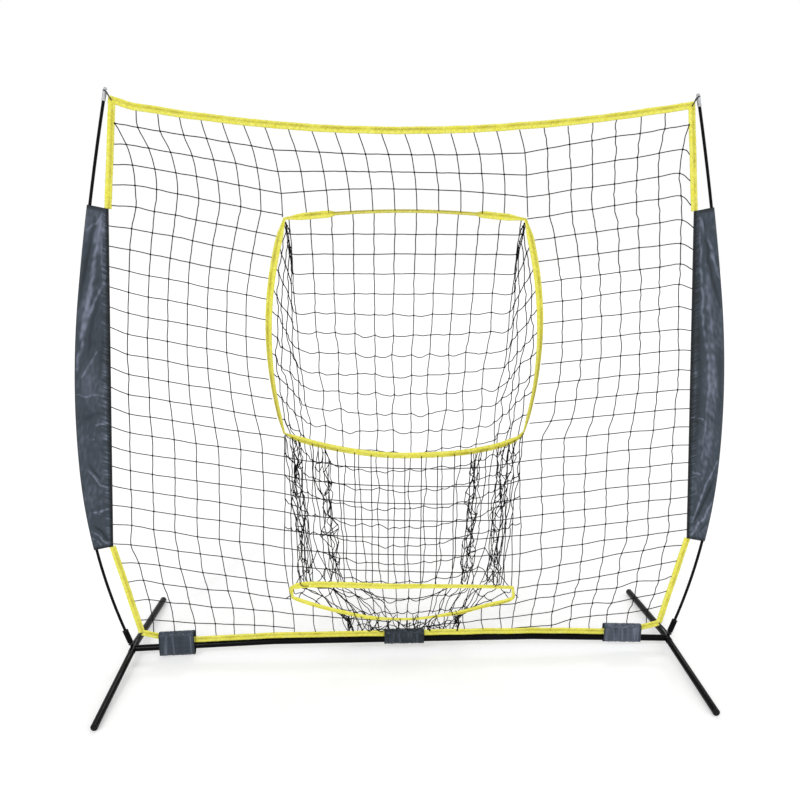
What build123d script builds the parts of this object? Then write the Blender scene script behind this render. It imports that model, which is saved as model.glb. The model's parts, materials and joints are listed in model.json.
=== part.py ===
from build123d import *
import os
from math import asin, atan2, ceil, cos, degrees, hypot, radians, sin, tan

# Bow-frame pitching net: two bent poles stand in a knock-down tube base and pull a net taut.
# The net has a target opening with a catch pocket behind it and a return slot at its foot.
# Millimetres. +X is the right-hand side seen from the pitcher, +Y points away from the pitcher,
# +Z is up. The origin is on the floor, under the middle of the crossbar.

# ---- Overall sizes ----
frame_half_width = 1082.0        # middle of the net to the axis of a leg
front_leg_reach = 470.0          # along the leg, from the crossbar to the last full section
rear_leg_reach = 425.0           # along the leg, from its bend to the last full section
front_leg_droop = 3.3            # degrees below level
pole_section_length = 672.0      # free length of one of the three pole sections
pole_lean = 18.5                 # degrees outward, at the socket
pole_turn = 31.5                 # degrees that the whole pole bends inward

# ---- Tubes and rods ----
rear_leg_od = 28.0
front_leg_od = 25.4
bar_od = 25.4
tube_wall = 1.2
slide_gap = 0.1                  # radial clearance of a leg that pulls out
push_gap = 0.05                  # radial clearance of parts pushed home for good
mouth_ahead = 25.0               # the rear leg's open end, ahead of the crossbar
leg_insert = 50.0                # front leg inside the rear leg
leg_bend_behind = 45.0           # the rear leg's bend, behind the crossbar
leg_bend_radius = 240.0
cap_head = 9.0
cap_edge = 4.0                   # height of a cap's rounded edge
cap_plug = 20.0

# ---- Crossbar ----
bar_rise = 20.0                  # the middle of the bar above its ends
bar_bend_at = 525.0              # from the middle to the bar's bend
bar_bend_radius = 900.0
stub_reach = 118.0               # leg axis to the stub's mouth
spigot_length = 50.0
spigot_shoulder = 6.0

# ---- Pole sockets, poles and tips ----
neck_od = 14.0
socket_start = 31.0              # leg axis to the socket's foot, along the pole
socket_length = 50.0
socket_floor = 4.0
socket_od = 22.0
socket_wall = 1.5
bush_flange = 2.0
bush_flange_od = 23.5
pole_od = 11.0
joint_sleeve_od = 13.4
joint_sleeve_length = 60.0
joint_gap = 0.2                  # radial clearance, so that a straight sleeve clears a bent pole
tip_cover = 18.0                 # the tip's bore over the pole
tip_od = 14.0
tip_body = 31.0                  # tip above the pole's shoulder, up to its groove
tip_groove = 6.0
tip_groove_od = 8.0
tip_head = 8.0
tip_head_od = 13.0

# ---- Net ----
mesh_pitch = 80.0
cord_width = 2.5
tape_width = 25.0
tape_thickness = 5.0             # webbing folded over the net's edge
net_top_corner = (1012.0, 2106.0)
net_top_sag = 85.0
net_foot_corner = (1043.0, 108.0)
foot_tape_low_at = 900.0         # where the foot tape leaves the bar for the corner
target_half_width = 503.0
target_middle_z = 1235.0
target_top_corner = (434.0, 1713.0)
target_top_z = 1741.0
target_foot_corner = (457.0, 921.0)
target_foot_z = 828.0
slot_half_width = 450.0
slot_top_z = 272.0
slot_side_z = 237.0
slot_foot_z = 133.0

# ---- Catch pocket: its back, from the target's top to the slot, as (depth, height) ----
pocket_profile = [(0.0, 1731.0), (187.0, 1300.0), (282.0, 800.0), (259.0, 350.0),
                  (117.0, 36.0), (1.5, 131.0)]
pocket_front_half = 503.0
pocket_rear_half = 408.0

# ---- Fabric sleeves ----
cloth = 1.2
cloth_gap = 0.5
sleeve_fold_lengths = 5
side_sleeve_top_z = 1757.0
side_sleeve_foot_z = 465.0
side_sleeve_end_width = 72.0
bar_sleeves = {"right_bar_sleeve": (814.0, 968.0, 3.0),      # from x, to x, slack below the bar
               "centre_bar_sleeve": (-80.0, 80.0, 3.0),
               "left_bar_sleeve": (-976.0, -837.0, 21.0)}

# ---- Elastic loops ----
elastic_od = 4.0
loop_gap = 0.3

# ---- Worked out from the sizes above ----
pole_r = pole_od / 2
tape_half = tape_width / 2
cap_r = front_leg_od / 2
droop = radians(front_leg_droop)
hub_z = front_leg_reach * sin(droop) + (cap_r - cap_edge) * cos(droop) + cap_edge
lean = radians(pole_lean)
socket_mouth = socket_start + socket_length
bar_mid_z = hub_z + bar_rise
bar_slope = atan2(bar_rise, frame_half_width - bar_bend_at)
foot_tape_lift = bar_od / 2 + tape_half + loop_gap
net_back = tape_thickness / 2 + loop_gap


def solve_rear_droop():
    """Angle at which the rear leg's cap just touches the floor."""
    height = hub_z + leg_bend_behind * sin(droop) - cap_edge
    radius = rear_leg_od / 2 - cap_edge
    return asin(height / hypot(rear_leg_reach, radius)) - atan2(radius, rear_leg_reach)


rear_droop = solve_rear_droop()


def bar_z(x):
    """Height of the crossbar's axis at x."""
    return bar_mid_z - max(0.0, abs(x) - bar_bend_at) * tan(bar_slope)


def both_sides(name, right):
    """A right-hand piece and its mirror image."""
    return {"right_" + name: right, "left_" + name: mirror(right, about=Plane.YZ)}


def tube(path, outer_r, inner_r):
    ring = Plane(origin=path @ 0, z_dir=path % 0) * (Circle(outer_r) - Circle(inner_r))
    return sweep(ring, path)


def turned(profile, axis_plane):
    """A turned piece: profile of (distance along the axis, radius), the axis along the plane's Z."""
    outline = Plane.XZ * make_face(Polyline([(r, s) for s, r in profile], close=True))
    return axis_plane * revolve(outline, Axis.Z)


# ---- Legs ----
front_dir = Vector(0, -cos(droop), -sin(droop))
rear_dir = Vector(0, cos(rear_droop), -sin(rear_droop))
hub = Vector(frame_half_width, 0, hub_z)
leg_bend = hub - front_dir * leg_bend_behind


def make_rear_leg():
    end = leg_bend + rear_dir * (rear_leg_reach - cap_head + cap_edge)
    path = FilletPolyline(hub + front_dir * mouth_ahead, leg_bend, end, radius=leg_bend_radius)
    return tube(path, rear_leg_od / 2, front_leg_od / 2 + slide_gap)


def make_front_leg():
    start = hub + front_dir * (mouth_ahead - leg_insert)
    end = hub + front_dir * (front_leg_reach - cap_head + cap_edge)
    return tube(Line(start, end), front_leg_od / 2, front_leg_od / 2 - tube_wall)


def make_cap(tube_end, direction, outer_r, bore_r):
    """Domed plastic plug: a bevelled head on the tube's end and a shank inside it."""
    shank = bore_r - push_gap
    dome = [(cap_head - cap_edge, outer_r), (cap_head - cap_edge * 0.3, outer_r - cap_edge * 0.3),
            (cap_head, outer_r - cap_edge), (cap_head, 0)]
    profile = [(-cap_plug, 0), (-cap_plug, shank), (0, shank), (0, outer_r), *dome]
    return turned(profile, Plane(origin=tube_end, z_dir=direction))


# ---- Crossbar ----
def make_stub():
    """Short socket tube, coped to the rear leg that it is welded to."""
    mouth = hub + Vector(-cos(bar_slope), 0, sin(bar_slope)) * stub_reach
    body = tube(Line(hub, mouth), bar_od / 2, bar_od / 2 - tube_wall)
    axis = Line(hub + front_dir * 60, hub - front_dir * 60)
    return body - sweep(Plane(origin=axis @ 0, z_dir=axis % 0) * Circle(rear_leg_od / 2), axis)


def reduced_end(plane):
    """Tube end swaged down to slide into a tube of its own size."""
    full, bore = bar_od / 2, bar_od / 2 - tube_wall
    spigot = bore - slide_gap
    end = spigot_shoulder + spigot_length
    return turned([(0, bore), (0, full), (spigot_shoulder, spigot), (end, spigot),
                   (end, spigot - tube_wall), (spigot_shoulder, spigot - tube_wall)], plane)


def make_crossbar(side):
    """One half of the bar; the left half carries the spigot of the middle joint."""
    inward = Vector(-side * cos(bar_slope), 0, sin(bar_slope))
    outer_end = Vector(side * frame_half_width, 0, hub_z) + inward * (stub_reach + spigot_shoulder)
    middle = Vector(0 if side > 0 else -spigot_shoulder, 0, bar_mid_z)
    bend = Vector(side * bar_bend_at, 0, bar_mid_z)
    body = tube(FilletPolyline(middle, bend, outer_end, radius=bar_bend_radius),
                bar_od / 2, bar_od / 2 - tube_wall)
    body += reduced_end(Plane(origin=outer_end, z_dir=-inward))
    if side < 0:
        body += reduced_end(Plane(origin=middle, z_dir=(1, 0, 0)))
    return body


# ---- Poles: each section is an arc, and they bend less towards the tip, as a sprung rod does ----
pole_bends = [(socket_mouth, 0.0)]
pole_bends += [(pole_section_length, pole_turn * share / 9) for share in (5, 3, 1)]
pole_bends += [(tip_cover, 0.0)]


def along(point, heading, length, turn, run, side=0.0):
    """Point and heading after a run along one bend, offset sideways away from the net."""
    x, z = point
    if turn == 0:
        x, z = x + run * sin(heading), z + run * cos(heading)
        ahead = heading
    else:
        radius = length / radians(turn)
        ahead = heading - run / radius
        x += radius * (cos(ahead) - cos(heading))
        z += radius * (sin(heading) - sin(ahead))
    return (x + side * cos(ahead), z - side * sin(ahead)), ahead


def pole_edges(start, end, side=0.0):
    """Edges of the pole's axis, or of a line beside it, between two lengths from the leg's axis."""
    point, heading, passed, edges = (frame_half_width, hub_z), lean, 0.0, []
    for length, turn in pole_bends:
        low, high = max(start - passed, 0.0), min(end - passed, length)
        if high - low > 0.01:
            first, at = along(point, heading, length, turn, low, side)
            last, _ = along(point, heading, length, turn, high, side)
            if turn == 0:
                edges.append(Line(first, last))
            else:
                radius = length / radians(turn)
                edges.append(JernArc(first, (sin(at), cos(at)), radius + side,
                                     degrees((high - low) / radius)))
        point, heading = along(point, heading, length, turn, length)
        passed += length
    return edges


def pole_path(start, end):
    return Plane.XZ * Wire([e.edge() for e in pole_edges(start, end)])


def pole_spot(length):
    """Place and direction on the pole's axis."""
    path = pole_path(length - 1.0, length)
    return path @ 1, path % 1


joint_spots = [socket_mouth + pole_section_length * n for n in (1, 2)]
pole_shoulder = socket_mouth + 3 * pole_section_length
pole_foot = socket_start + socket_floor


def make_pole_section(start, end):
    path = pole_path(start, end)
    return sweep(Plane(origin=path @ 0, z_dir=path % 0) * Circle(pole_r), path)


def make_pole_socket():
    """Steel cup on a solid neck, coped to the leg tube below it."""
    cup, bore = socket_od / 2, socket_od / 2 - socket_wall
    profile = [(0, 0), (0, neck_od / 2), (socket_start - 3, neck_od / 2), (socket_start, cup),
               (socket_mouth, cup), (socket_mouth, bore), (pole_foot, bore), (pole_foot, 0)]
    body = turned(profile, Plane(origin=hub, z_dir=(sin(lean), 0, cos(lean))))
    axis = Line(hub + front_dir * 60, hub - front_dir * 60)
    return body - sweep(Plane(origin=axis @ 0, z_dir=axis % 0) * Circle(rear_leg_od / 2), axis)


def make_bush():
    """Flanged plastic liner between the cup and the pole."""
    outer, inner = socket_od / 2 - socket_wall - push_gap, pole_r + push_gap
    top = socket_mouth + bush_flange
    profile = [(pole_foot, inner), (pole_foot, outer), (socket_mouth, outer),
               (socket_mouth, bush_flange_od / 2), (top, bush_flange_od / 2), (top, inner)]
    return turned(profile, Plane(origin=hub, z_dir=(sin(lean), 0, cos(lean))))


def make_tip():
    """Turned steel tip: bored for the pole, with a groove and a head that hold the elastic."""
    place, direction = pole_spot(pole_shoulder)
    body, groove = tip_od / 2, tip_groove_od / 2
    groove_end = tip_body + tip_groove
    top = groove_end + tip_head
    profile = [(0, pole_r + push_gap), (0, body), (tip_body, body), (tip_body, groove),
               (groove_end, groove), (groove_end, tip_head_od / 2), (top - 3, tip_head_od / 2),
               (top, tip_head_od / 2 - 3), (top, 0), (tip_cover, 0),
               (tip_cover, pole_r + push_gap)]
    return turned(profile, Plane(origin=place, z_dir=direction))


# ---- Tapes: bands of webbing in the plane of the net ----
def band(points, width):
    """Mitred strip of even width along a polyline."""
    sides = []
    for sign in (1, -1):
        for i in range(len(points))[::sign]:
            here = Vector(*points[i])
            ways = [(Vector(*points[j + 1]) - Vector(*points[j])).normalized()
                    for j in (i - 1, i) if 0 <= j < len(points) - 1]
            mean = (ways[0] + ways[-1]).normalized()
            reach = sign * width / 2 / mean.dot(ways[0])
            sides.append(here + Vector(-mean.Y, mean.X) * reach)
    return make_face(Polyline(sides, close=True))


def ring(outline, width):
    return (offset(outline, width / 2, kind=Kind.ARC) - offset(outline, -width / 2,
                                                              kind=Kind.INTERSECTION))


def arc_ring_face(points):
    """Closed outline of arcs through every second point."""
    arcs = [ThreePointArc(points[i], points[i + 1], points[(i + 2) % len(points)])
            for i in range(0, len(points), 2)]
    return make_face(Wire([a.edge() for a in arcs]))


def mirror_x(point):
    return (-point[0], point[1])


def in_net_plane(face, thickness):
    """A flat piece standing in the net's plane, centred on it."""
    return extrude(Plane.XZ * face, thickness / 2, both=True)


def top_disc(side):
    """Disc whose lower arc is the sagging top edge, moved by side from the tape's middle."""
    x, z = net_top_corner
    radius = (x * x + net_top_sag ** 2) / (2 * net_top_sag)
    return Pos(0, z - net_top_sag + radius) * Circle(radius + side)


def make_top_band():
    width = 2 * (net_top_corner[0] + tape_half)
    window = Pos(0, net_top_corner[1]) * Rectangle(width, 3 * net_top_sag)
    return (top_disc(tape_half) - top_disc(-tape_half)) & window


def beside_pole(length, side):
    """Point in the net's plane beside the pole; a negative side is towards the net."""
    point, direction = pole_spot(length)
    return (point.X + side * direction.Z, point.Z - side * direction.X)


def length_at_height(z):
    """Length along the pole at which it reaches a height, by halving the interval."""
    low, high = socket_mouth, pole_shoulder
    while high - low > 0.01:
        half = (low + high) / 2
        low, high = (half, high) if pole_spot(half)[0].Z < z else (low, half)
    return low


sleeve_top = length_at_height(side_sleeve_top_z)
sleeve_foot = length_at_height(side_sleeve_foot_z)
sleeve_reach = joint_sleeve_od / 2 + cloth_gap
sleeve_inner = sleeve_reach + cloth - side_sleeve_end_width
top_inner = beside_pole(sleeve_top, sleeve_inner)
foot_inner = beside_pole(sleeve_foot, sleeve_inner)
foot_line = [(x, bar_z(x) + foot_tape_lift) for x in (0, bar_bend_at, foot_tape_low_at)]
foot_line.append(net_foot_corner)
foot_points = [mirror_x(p) for p in foot_line[:0:-1]] + foot_line[1:]
target_points = [mirror_x(target_top_corner), (0, target_top_z), target_top_corner,
                 (target_half_width, target_middle_z), target_foot_corner, (0, target_foot_z),
                 mirror_x(target_foot_corner), (-target_half_width, target_middle_z)]


def slot_face():
    left, right = (-slot_half_width, slot_side_z), (slot_half_width, slot_side_z)
    top_left, top_right = (-slot_half_width, slot_top_z), (slot_half_width, slot_top_z)
    edges = [Line(left, top_left), Line(top_left, top_right), Line(top_right, right),
             ThreePointArc(right, (0, slot_foot_z), left)]
    return make_face(Wire([e.edge() for e in edges]))


# ---- Netting: upright cords in one layer, level cords in the next, touching where they cross ----
def netting(region, plane, across_from, up_from):
    """Cords over a flat region of a plane, one solid for each unbroken cord."""
    box = region.bounding_box()
    cords = []
    columns = [across_from + mesh_pitch * n for n in
               range(ceil((box.min.X - across_from) / mesh_pitch), 99)]
    rows = [up_from + mesh_pitch * n for n in
            range(ceil((box.min.Y - up_from) / mesh_pitch), 99)]
    tall, wide = box.size.Y * 2 + 10, box.size.X * 2 + 10
    middle = box.center()
    for x in (c for c in columns if box.min.X < c < box.max.X):
        strip = region & Pos(x, middle.Y) * Rectangle(cord_width, tall)
        cords += [extrude(plane * f, cord_width) for f in strip.faces()]
    for y in (r for r in rows if box.min.Y < r < box.max.Y):
        strip = region & Pos(middle.X, y) * Rectangle(wide, cord_width)
        cords += [extrude(plane * f, -cord_width) for f in strip.faces()]
    return [s for cord in cords for s in cord.solids()]


def make_front_net(holders):
    """Netting up to the tapes and sleeves, with the target opening and return slot left free."""
    half = [net_foot_corner, foot_inner, top_inner, net_top_corner]
    outline = foot_points[:-1] + half + [mirror_x(p) for p in half[:0:-1]]
    region = make_face(Polyline(outline, close=True)) - top_disc(tape_half)
    region -= offset(arc_ring_face(target_points), tape_half, kind=Kind.ARC)
    region -= offset(slot_face(), tape_half, kind=Kind.ARC)
    for face in holders:
        region -= face
    return netting(region, Plane.XZ, 0, foot_line[0][1] + tape_half + mesh_pitch / 2)


# ---- Catch pocket: flat panels of netting, folded at level lines ----
def make_pocket():
    """Back in five panels with a cord along each side, and two flat sides that narrow to it."""
    profile = [(net_back + depth, z) for depth, z in pocket_profile]
    spread = atan2(pocket_front_half - pocket_rear_half, max(profile)[0])
    seam_inset, half_cord = cord_width + loop_gap, cord_width / 2
    cords = []
    for (y0, z0), (y1, z1) in zip(profile, profile[1:]):
        low, high = loop_gap / 2, hypot(y1 - y0, z1 - z0) - loop_gap / 2
        w0, w1 = (pocket_front_half - y * tan(spread) - seam_inset for y in (y0, y1))
        panel = make_face(Polyline((w0, low), (w1, high), (-w1, high), (-w0, low), close=True))
        seam = make_face(Polyline((w0 - half_cord, low), (w0 + half_cord, low),
                                  (w1 + half_cord, high), (w1 - half_cord, high), close=True))
        plane = Plane(origin=(0, y0, z0), x_dir=(1, 0, 0), z_dir=(0, z0 - z1, y1 - y0))
        cords += netting(panel, plane, 0, mesh_pitch / 2)
        cords += [extrude(plane * side, cord_width)
                  for side in (seam, mirror(seam, about=Plane.YZ))]
    front = net_back + cord_width * sin(spread)
    outline = [(front, profile[0][1])] + profile[1:-1] + [(front, profile[-1][1])]
    side = make_face(Polyline([(y / cos(spread), z) for y, z in outline], close=True))
    for sign in (1, -1):
        plane = Plane(origin=(sign * pocket_front_half, 0, 0),
                      x_dir=(-sign * sin(spread), cos(spread), 0),
                      z_dir=(cos(spread), sign * sin(spread), 0))
        cords += netting(side, plane, front / cos(spread) + half_cord,
                         profile[0][1] - mesh_pitch / 2)
    return [solid for cord in cords for solid in cord.solids()]


# ---- Fabric sleeves ----
def sleeve_outline(start, end, grow):
    """Side sleeve from the front: its outer edge follows the pole, its inner edge is straight."""
    edges = [e.edge() for e in pole_edges(start, end, sleeve_reach + grow)]
    top, foot = (beside_pole(s, sleeve_inner + cloth - grow) for s in (end, start))
    edges += [Line(edges[-1] @ 1, top).edge(), Line(top, foot).edge(),
              Line(foot, edges[0] @ 0).edge()]
    return make_face(Wire(edges))


def sleeve_fold(start, end):
    """Length of the cloth that passes round the outside of the pole."""
    outer, inner = (pole_edges(start, end, sleeve_reach + grow) for grow in (cloth, 0))
    edges = [e.edge() for e in outer + inner]
    edges += [Line(outer[0] @ 0, inner[0] @ 0).edge(), Line(outer[-1] @ 1, inner[-1] @ 1).edge()]
    return make_face(Wire(edges))


def make_side_sleeve():
    """Flat fabric tube that the pole runs through: two panels, a sewn edge and an outer fold."""
    panel = Plane.XZ * sleeve_outline(sleeve_foot, sleeve_top, cloth)
    solids = [Pos(0, -sleeve_reach, 0) * extrude(panel, cloth),
              Pos(0, sleeve_reach, 0) * extrude(panel, -cloth)]
    seam = Polyline(foot_inner, top_inner, beside_pole(sleeve_top, sleeve_inner + cloth),
                    beside_pole(sleeve_foot, sleeve_inner + cloth), close=True)
    solids.append(in_net_plane(make_face(seam), 2 * sleeve_reach))
    step = (sleeve_top - sleeve_foot) / sleeve_fold_lengths
    for n in range(sleeve_fold_lengths):
        fold = sleeve_fold(sleeve_foot + n * step, sleeve_foot + (n + 1) * step)
        solids.append(in_net_plane(fold, 2 * sleeve_reach))
    return Compound(solids)


def bar_sleeve_reach(start, end, slack):
    """Foot and top of a bar sleeve's hollow, measured from the bar's axis."""
    far = max(start, end, key=abs)
    rise = (net_foot_corner[1] - foot_line[2][1]) / (net_foot_corner[0] - foot_line[2][0])
    tape_z = max(bar_z(far) + foot_tape_lift,
                 foot_line[2][1] + rise * (abs(far) - foot_tape_low_at))
    return -bar_od / 2 - cloth_gap - slack, tape_z - bar_z(far) + tape_half + 3 * cloth_gap


def bar_sleeve_front(start, end, slack):
    foot, top = bar_sleeve_reach(start, end, slack)
    corners = [(x, bar_z(x) + z) for z, ends in ((foot - cloth, (start, end)),
                                                 (top + cloth, (end, start))) for x in ends]
    return make_face(Polyline(corners, close=True))


def make_bar_sleeve(start, end, slack):
    """Fabric loop round the crossbar and the foot tape above it."""
    foot, top = bar_sleeve_reach(start, end, slack)
    plane = Plane(origin=(start, 0, bar_z(start)), x_dir=(0, 1, 0), z_dir=(1, 0, 0))
    width, height = bar_od + 2 * cloth_gap, top - foot
    hollow = RectangleRounded(width, height, width / 2 - 0.01)
    outer = RectangleRounded(width + 2 * cloth, height + 2 * cloth, width / 2 + cloth - 0.01)
    run = Vector(end - start, 0, bar_z(end) - bar_z(start))
    section = plane * (Pos(0, (top + foot) / 2) * (outer - hollow))
    return extrude(section, run.length, dir=run.normalized())


# ---- Elastic loops: both ends sewn to a corner of the net, the bight round a post ----
def make_elastic(post, post_axis, post_r, run_in, corner):
    inward = Vector(-post_axis.Z, 0, post_axis.X)
    wrap = post_r + loop_gap + elastic_od / 2
    sewn = tape_thickness / 2 + loop_gap + elastic_od / 2
    points = []
    for sign in (1, -1):
        strand = [Vector(corner[0], sign * sewn, corner[1]),
                  post + inward * run_in + Vector(0, sign * wrap, 0),
                  post - inward * wrap + Vector(0, sign * wrap, 0)]
        points += strand if sign > 0 else strand[::-1]
    bend = wrap - 0.1
    path = FilletPolyline(*points, radius=[bend, bend, bend, bend])
    return sweep(Plane(origin=path @ 0, z_dir=path % 0, x_dir=post_axis)
                 * Rectangle(elastic_od, elastic_od), path)


def make_top_elastic():
    place, direction = pole_spot(pole_shoulder)
    return make_elastic(place + direction * (tip_body + tip_groove / 2), direction,
                        tip_groove_od / 2, 9.0, net_top_corner)


def make_foot_elastic():
    direction = Vector(sin(lean), 0, cos(lean))
    height = (rear_leg_od / 2 + socket_start) / 2
    return make_elastic(hub + direction * height, direction, neck_od / 2, 11.0, net_foot_corner)


# ---- The whole net ----
def build():
    parts = {}
    parts.update(both_sides("rear_leg", make_rear_leg()))
    parts.update(both_sides("front_leg", make_front_leg()))
    front_end = hub + front_dir * (front_leg_reach - cap_head + cap_edge)
    rear_end = leg_bend + rear_dir * (rear_leg_reach - cap_head + cap_edge)
    parts.update(both_sides("front_cap", make_cap(front_end, front_dir, front_leg_od / 2,
                                                  front_leg_od / 2 - tube_wall)))
    parts.update(both_sides("rear_cap", make_cap(rear_end, rear_dir, rear_leg_od / 2,
                                                 front_leg_od / 2 + slide_gap)))
    parts.update(both_sides("crossbar_stub", make_stub()))
    parts["right_crossbar"] = make_crossbar(1)
    parts["left_crossbar"] = make_crossbar(-1)
    parts.update(both_sides("pole_socket", make_pole_socket()))
    parts.update(both_sides("socket_bush", make_bush()))
    ends = [pole_foot] + joint_spots + [pole_shoulder + tip_cover]
    for name, start, end in zip(("lower", "middle", "upper"), ends, ends[1:]):
        parts.update(both_sides(name + "_pole", make_pole_section(start, end)))
    for name, spot in zip(("lower", "upper"), joint_spots):
        bent = pole_path(spot - joint_sleeve_length / 2, spot + joint_sleeve_length / 2)
        parts.update(both_sides(name + "_joint_sleeve", tube(Line(bent @ 0, bent @ 1),
                                                             joint_sleeve_od / 2, pole_r + joint_gap)))
    parts.update(both_sides("pole_tip", make_tip()))

    top = make_top_band()
    foot = band(foot_points, tape_width)
    sleeve = sleeve_outline(sleeve_foot, sleeve_top, cloth)
    upper = band([net_top_corner, top_inner], tape_width) - top_disc(tape_half) - sleeve
    lower = band([foot_inner, net_foot_corner], tape_width) - foot - sleeve
    target = arc_ring_face(target_points)
    flat = {"top_tape": top, "foot_tape": foot, "target_tape": ring(target, tape_width),
            "return_slot_tape": ring(slot_face(), tape_width)}
    for name, face in (("upper_tape", upper), ("lower_tape", lower)):
        flat["right_" + name] = face
        flat["left_" + name] = mirror(face, about=Plane.YZ)
    parts.update({name: in_net_plane(face, tape_thickness) for name, face in flat.items()})
    holders = [face for name, face in flat.items() if name != "target_tape"]
    holders += [bar_sleeve_front(*spot) for spot in bar_sleeves.values()]
    parts["front_net"] = Compound(make_front_net(holders))
    parts["pocket_net"] = Compound(make_pocket())

    parts.update(both_sides("side_sleeve", make_side_sleeve()))
    parts.update({name: make_bar_sleeve(*spot) for name, spot in bar_sleeves.items()})
    parts.update(both_sides("top_elastic", make_top_elastic()))
    parts.update(both_sides("foot_elastic", make_foot_elastic()))
    return parts


os.makedirs("parts", exist_ok=True)
for node, shape in build().items():
    export_step(shape, f"parts/{node}.step")
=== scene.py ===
import json
import math

import bmesh
import bpy
from mathutils import Matrix, Vector, noise


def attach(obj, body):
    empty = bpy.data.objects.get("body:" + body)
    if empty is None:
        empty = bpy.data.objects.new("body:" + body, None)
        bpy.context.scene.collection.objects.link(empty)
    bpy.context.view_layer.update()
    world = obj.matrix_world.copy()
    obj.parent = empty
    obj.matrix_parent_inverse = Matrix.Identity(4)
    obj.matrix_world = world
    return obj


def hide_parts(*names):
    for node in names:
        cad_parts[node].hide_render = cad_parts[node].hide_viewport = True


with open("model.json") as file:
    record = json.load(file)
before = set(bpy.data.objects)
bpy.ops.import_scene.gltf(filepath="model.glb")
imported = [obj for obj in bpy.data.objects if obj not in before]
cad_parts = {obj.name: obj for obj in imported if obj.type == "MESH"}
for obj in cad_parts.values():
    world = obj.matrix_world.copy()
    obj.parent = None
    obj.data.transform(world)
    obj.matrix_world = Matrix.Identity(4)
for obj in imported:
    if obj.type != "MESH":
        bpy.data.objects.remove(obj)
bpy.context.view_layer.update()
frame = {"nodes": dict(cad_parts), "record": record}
root = "frame_and_net"
# noise_vector starts from the clock unless it is given a seed
noise.seed_set(7)
print("frame loaded")

# Metres. X to the pitcher's right, Y away from the pitcher, Z up.

# Camera
cameraView = {"place": (-0.1455, -2.8737, 1.6763), "turn": -0.0439, "tilt": 0.2152, "roll": 0.0029,
              "lens": 35.1}


def addCamera(view):
    camera = bpy.data.objects.new("camera", bpy.data.cameras.new("camera"))
    bpy.context.collection.objects.link(camera)
    camera.data.lens = view["lens"]
    camera.data.sensor_width = 36
    camera.data.clip_end = 60
    turned = (Matrix.Rotation(view["turn"], 4, "Z")
              @ Matrix.Rotation(math.pi / 2 - view["tilt"], 4, "X")
              @ Matrix.Rotation(view["roll"], 4, "Z"))
    camera.matrix_world = Matrix.Translation(view["place"]) @ turned
    bpy.context.scene.camera = camera


addCamera(cameraView)


def newStore():
    return {"verts": [], "faces": [], "uvs": [], "paintedShading": []}


# Joins rings of points; across and down are the UV values round a ring and along the run
def addSkin(store, rings, across, down, closed=False, capped=True):
    first, count = len(store["verts"]), len(rings[0])
    for ring in rings:
        store["verts"].extend(ring)
    turns = len(rings) if closed else len(rings) - 1
    for i in range(turns):
        j = (i + 1) % len(rings)
        vi, vj = down[i], down[i + 1]
        for a in range(count):
            b = (a + 1) % count
            store["faces"].append((first + i * count + a, first + i * count + b,
                                   first + j * count + b, first + j * count + a))
            ua, ub = across[a], across[a + 1]
            store["uvs"].extend(((ua, vi), (ub, vi), (ub, vj), (ua, vj)))
    if capped and not closed:
        for i, order in ((0, range(count - 1, -1, -1)), (len(rings) - 1, range(count))):
            store["faces"].append(tuple(first + i * count + a for a in order))
            store["uvs"].extend((across[a], down[i]) for a in order)


def makePiece(name, store, material, body=root, replaced=()):
    mesh = bpy.data.meshes.new(name)
    mesh.from_pydata([tuple(v) for v in store["verts"]], [], store["faces"])
    layer = mesh.uv_layers.new(name="run")
    for i, uv in enumerate(store["uvs"]):
        layer.data[i].uv = uv
    work = bmesh.new()
    work.from_mesh(mesh)
    bmesh.ops.recalc_face_normals(work, faces=work.faces)
    work.to_mesh(mesh)
    work.free()
    if store["paintedShading"]:  # painted shading of each point: painted highlight on cloth ridges (+) and painted shade in cloth valleys (-); on tapes, how dark the tape is painted, mostly painted shade along its fold
        mesh.attributes.new("fold", "FLOAT", "POINT").data.foreach_set("value", store["paintedShading"])
    mesh.shade_smooth()
    piece = bpy.data.objects.new(name, mesh)
    bpy.context.collection.objects.link(piece)
    mesh.materials.append(material)
    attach(piece, body)
    if replaced:
        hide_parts(*replaced)
    return piece


def lengthsAlong(route, closed=False):
    run = [0.0]
    ends = route[1:] + [route[0]] if closed else route[1:]
    for a, b in zip(route, ends):
        run.append(run[-1] + (b - a).length)
    return run


def tangents(route, closed=False):
    last = len(route) - 1
    found = []
    for i in range(len(route)):
        before = route[i - 1] if i or closed else route[0]
        after = route[(i + 1) % len(route)] if i < last or closed else route[last]
        found.append((after - before).normalized())
    return found


# Round cord along a route, its rings carried on without twisting
def layCord(store, route, radius, sides=5):
    ways = tangents(route)
    side = ways[0].orthogonal().normalized()
    rings = []
    for point, way in zip(route, ways):
        side = (side - way * side.dot(way)).normalized()
        other = way.cross(side)
        rings.append([point + radius * (side * math.cos(a) + other * math.sin(a))
                      for a in (2 * math.pi * n / sides for n in range(sides))])
    addSkin(store, rings, [n / sides for n in range(sides + 1)], lengthsAlong(route))


# Catmull-Rom curve through the points
def smoothRoute(points, steps):
    if len(points) < 3:
        return [points[0].lerp(points[-1], n / steps) for n in range(steps + 1)]
    padded = [points[0] * 2 - points[1]] + points + [points[-1] * 2 - points[-2]]
    route = []
    for a, b, c, d in zip(padded, padded[1:], padded[2:], padded[3:]):
        for n in range(steps):
            t = n / steps
            route.append(0.5 * (2 * b + (c - a) * t + (2 * a - 5 * b + 4 * c - d) * t ** 2
                                + (3 * b - a - 3 * c + d) * t ** 3))
    return route + [points[-1]]


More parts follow.
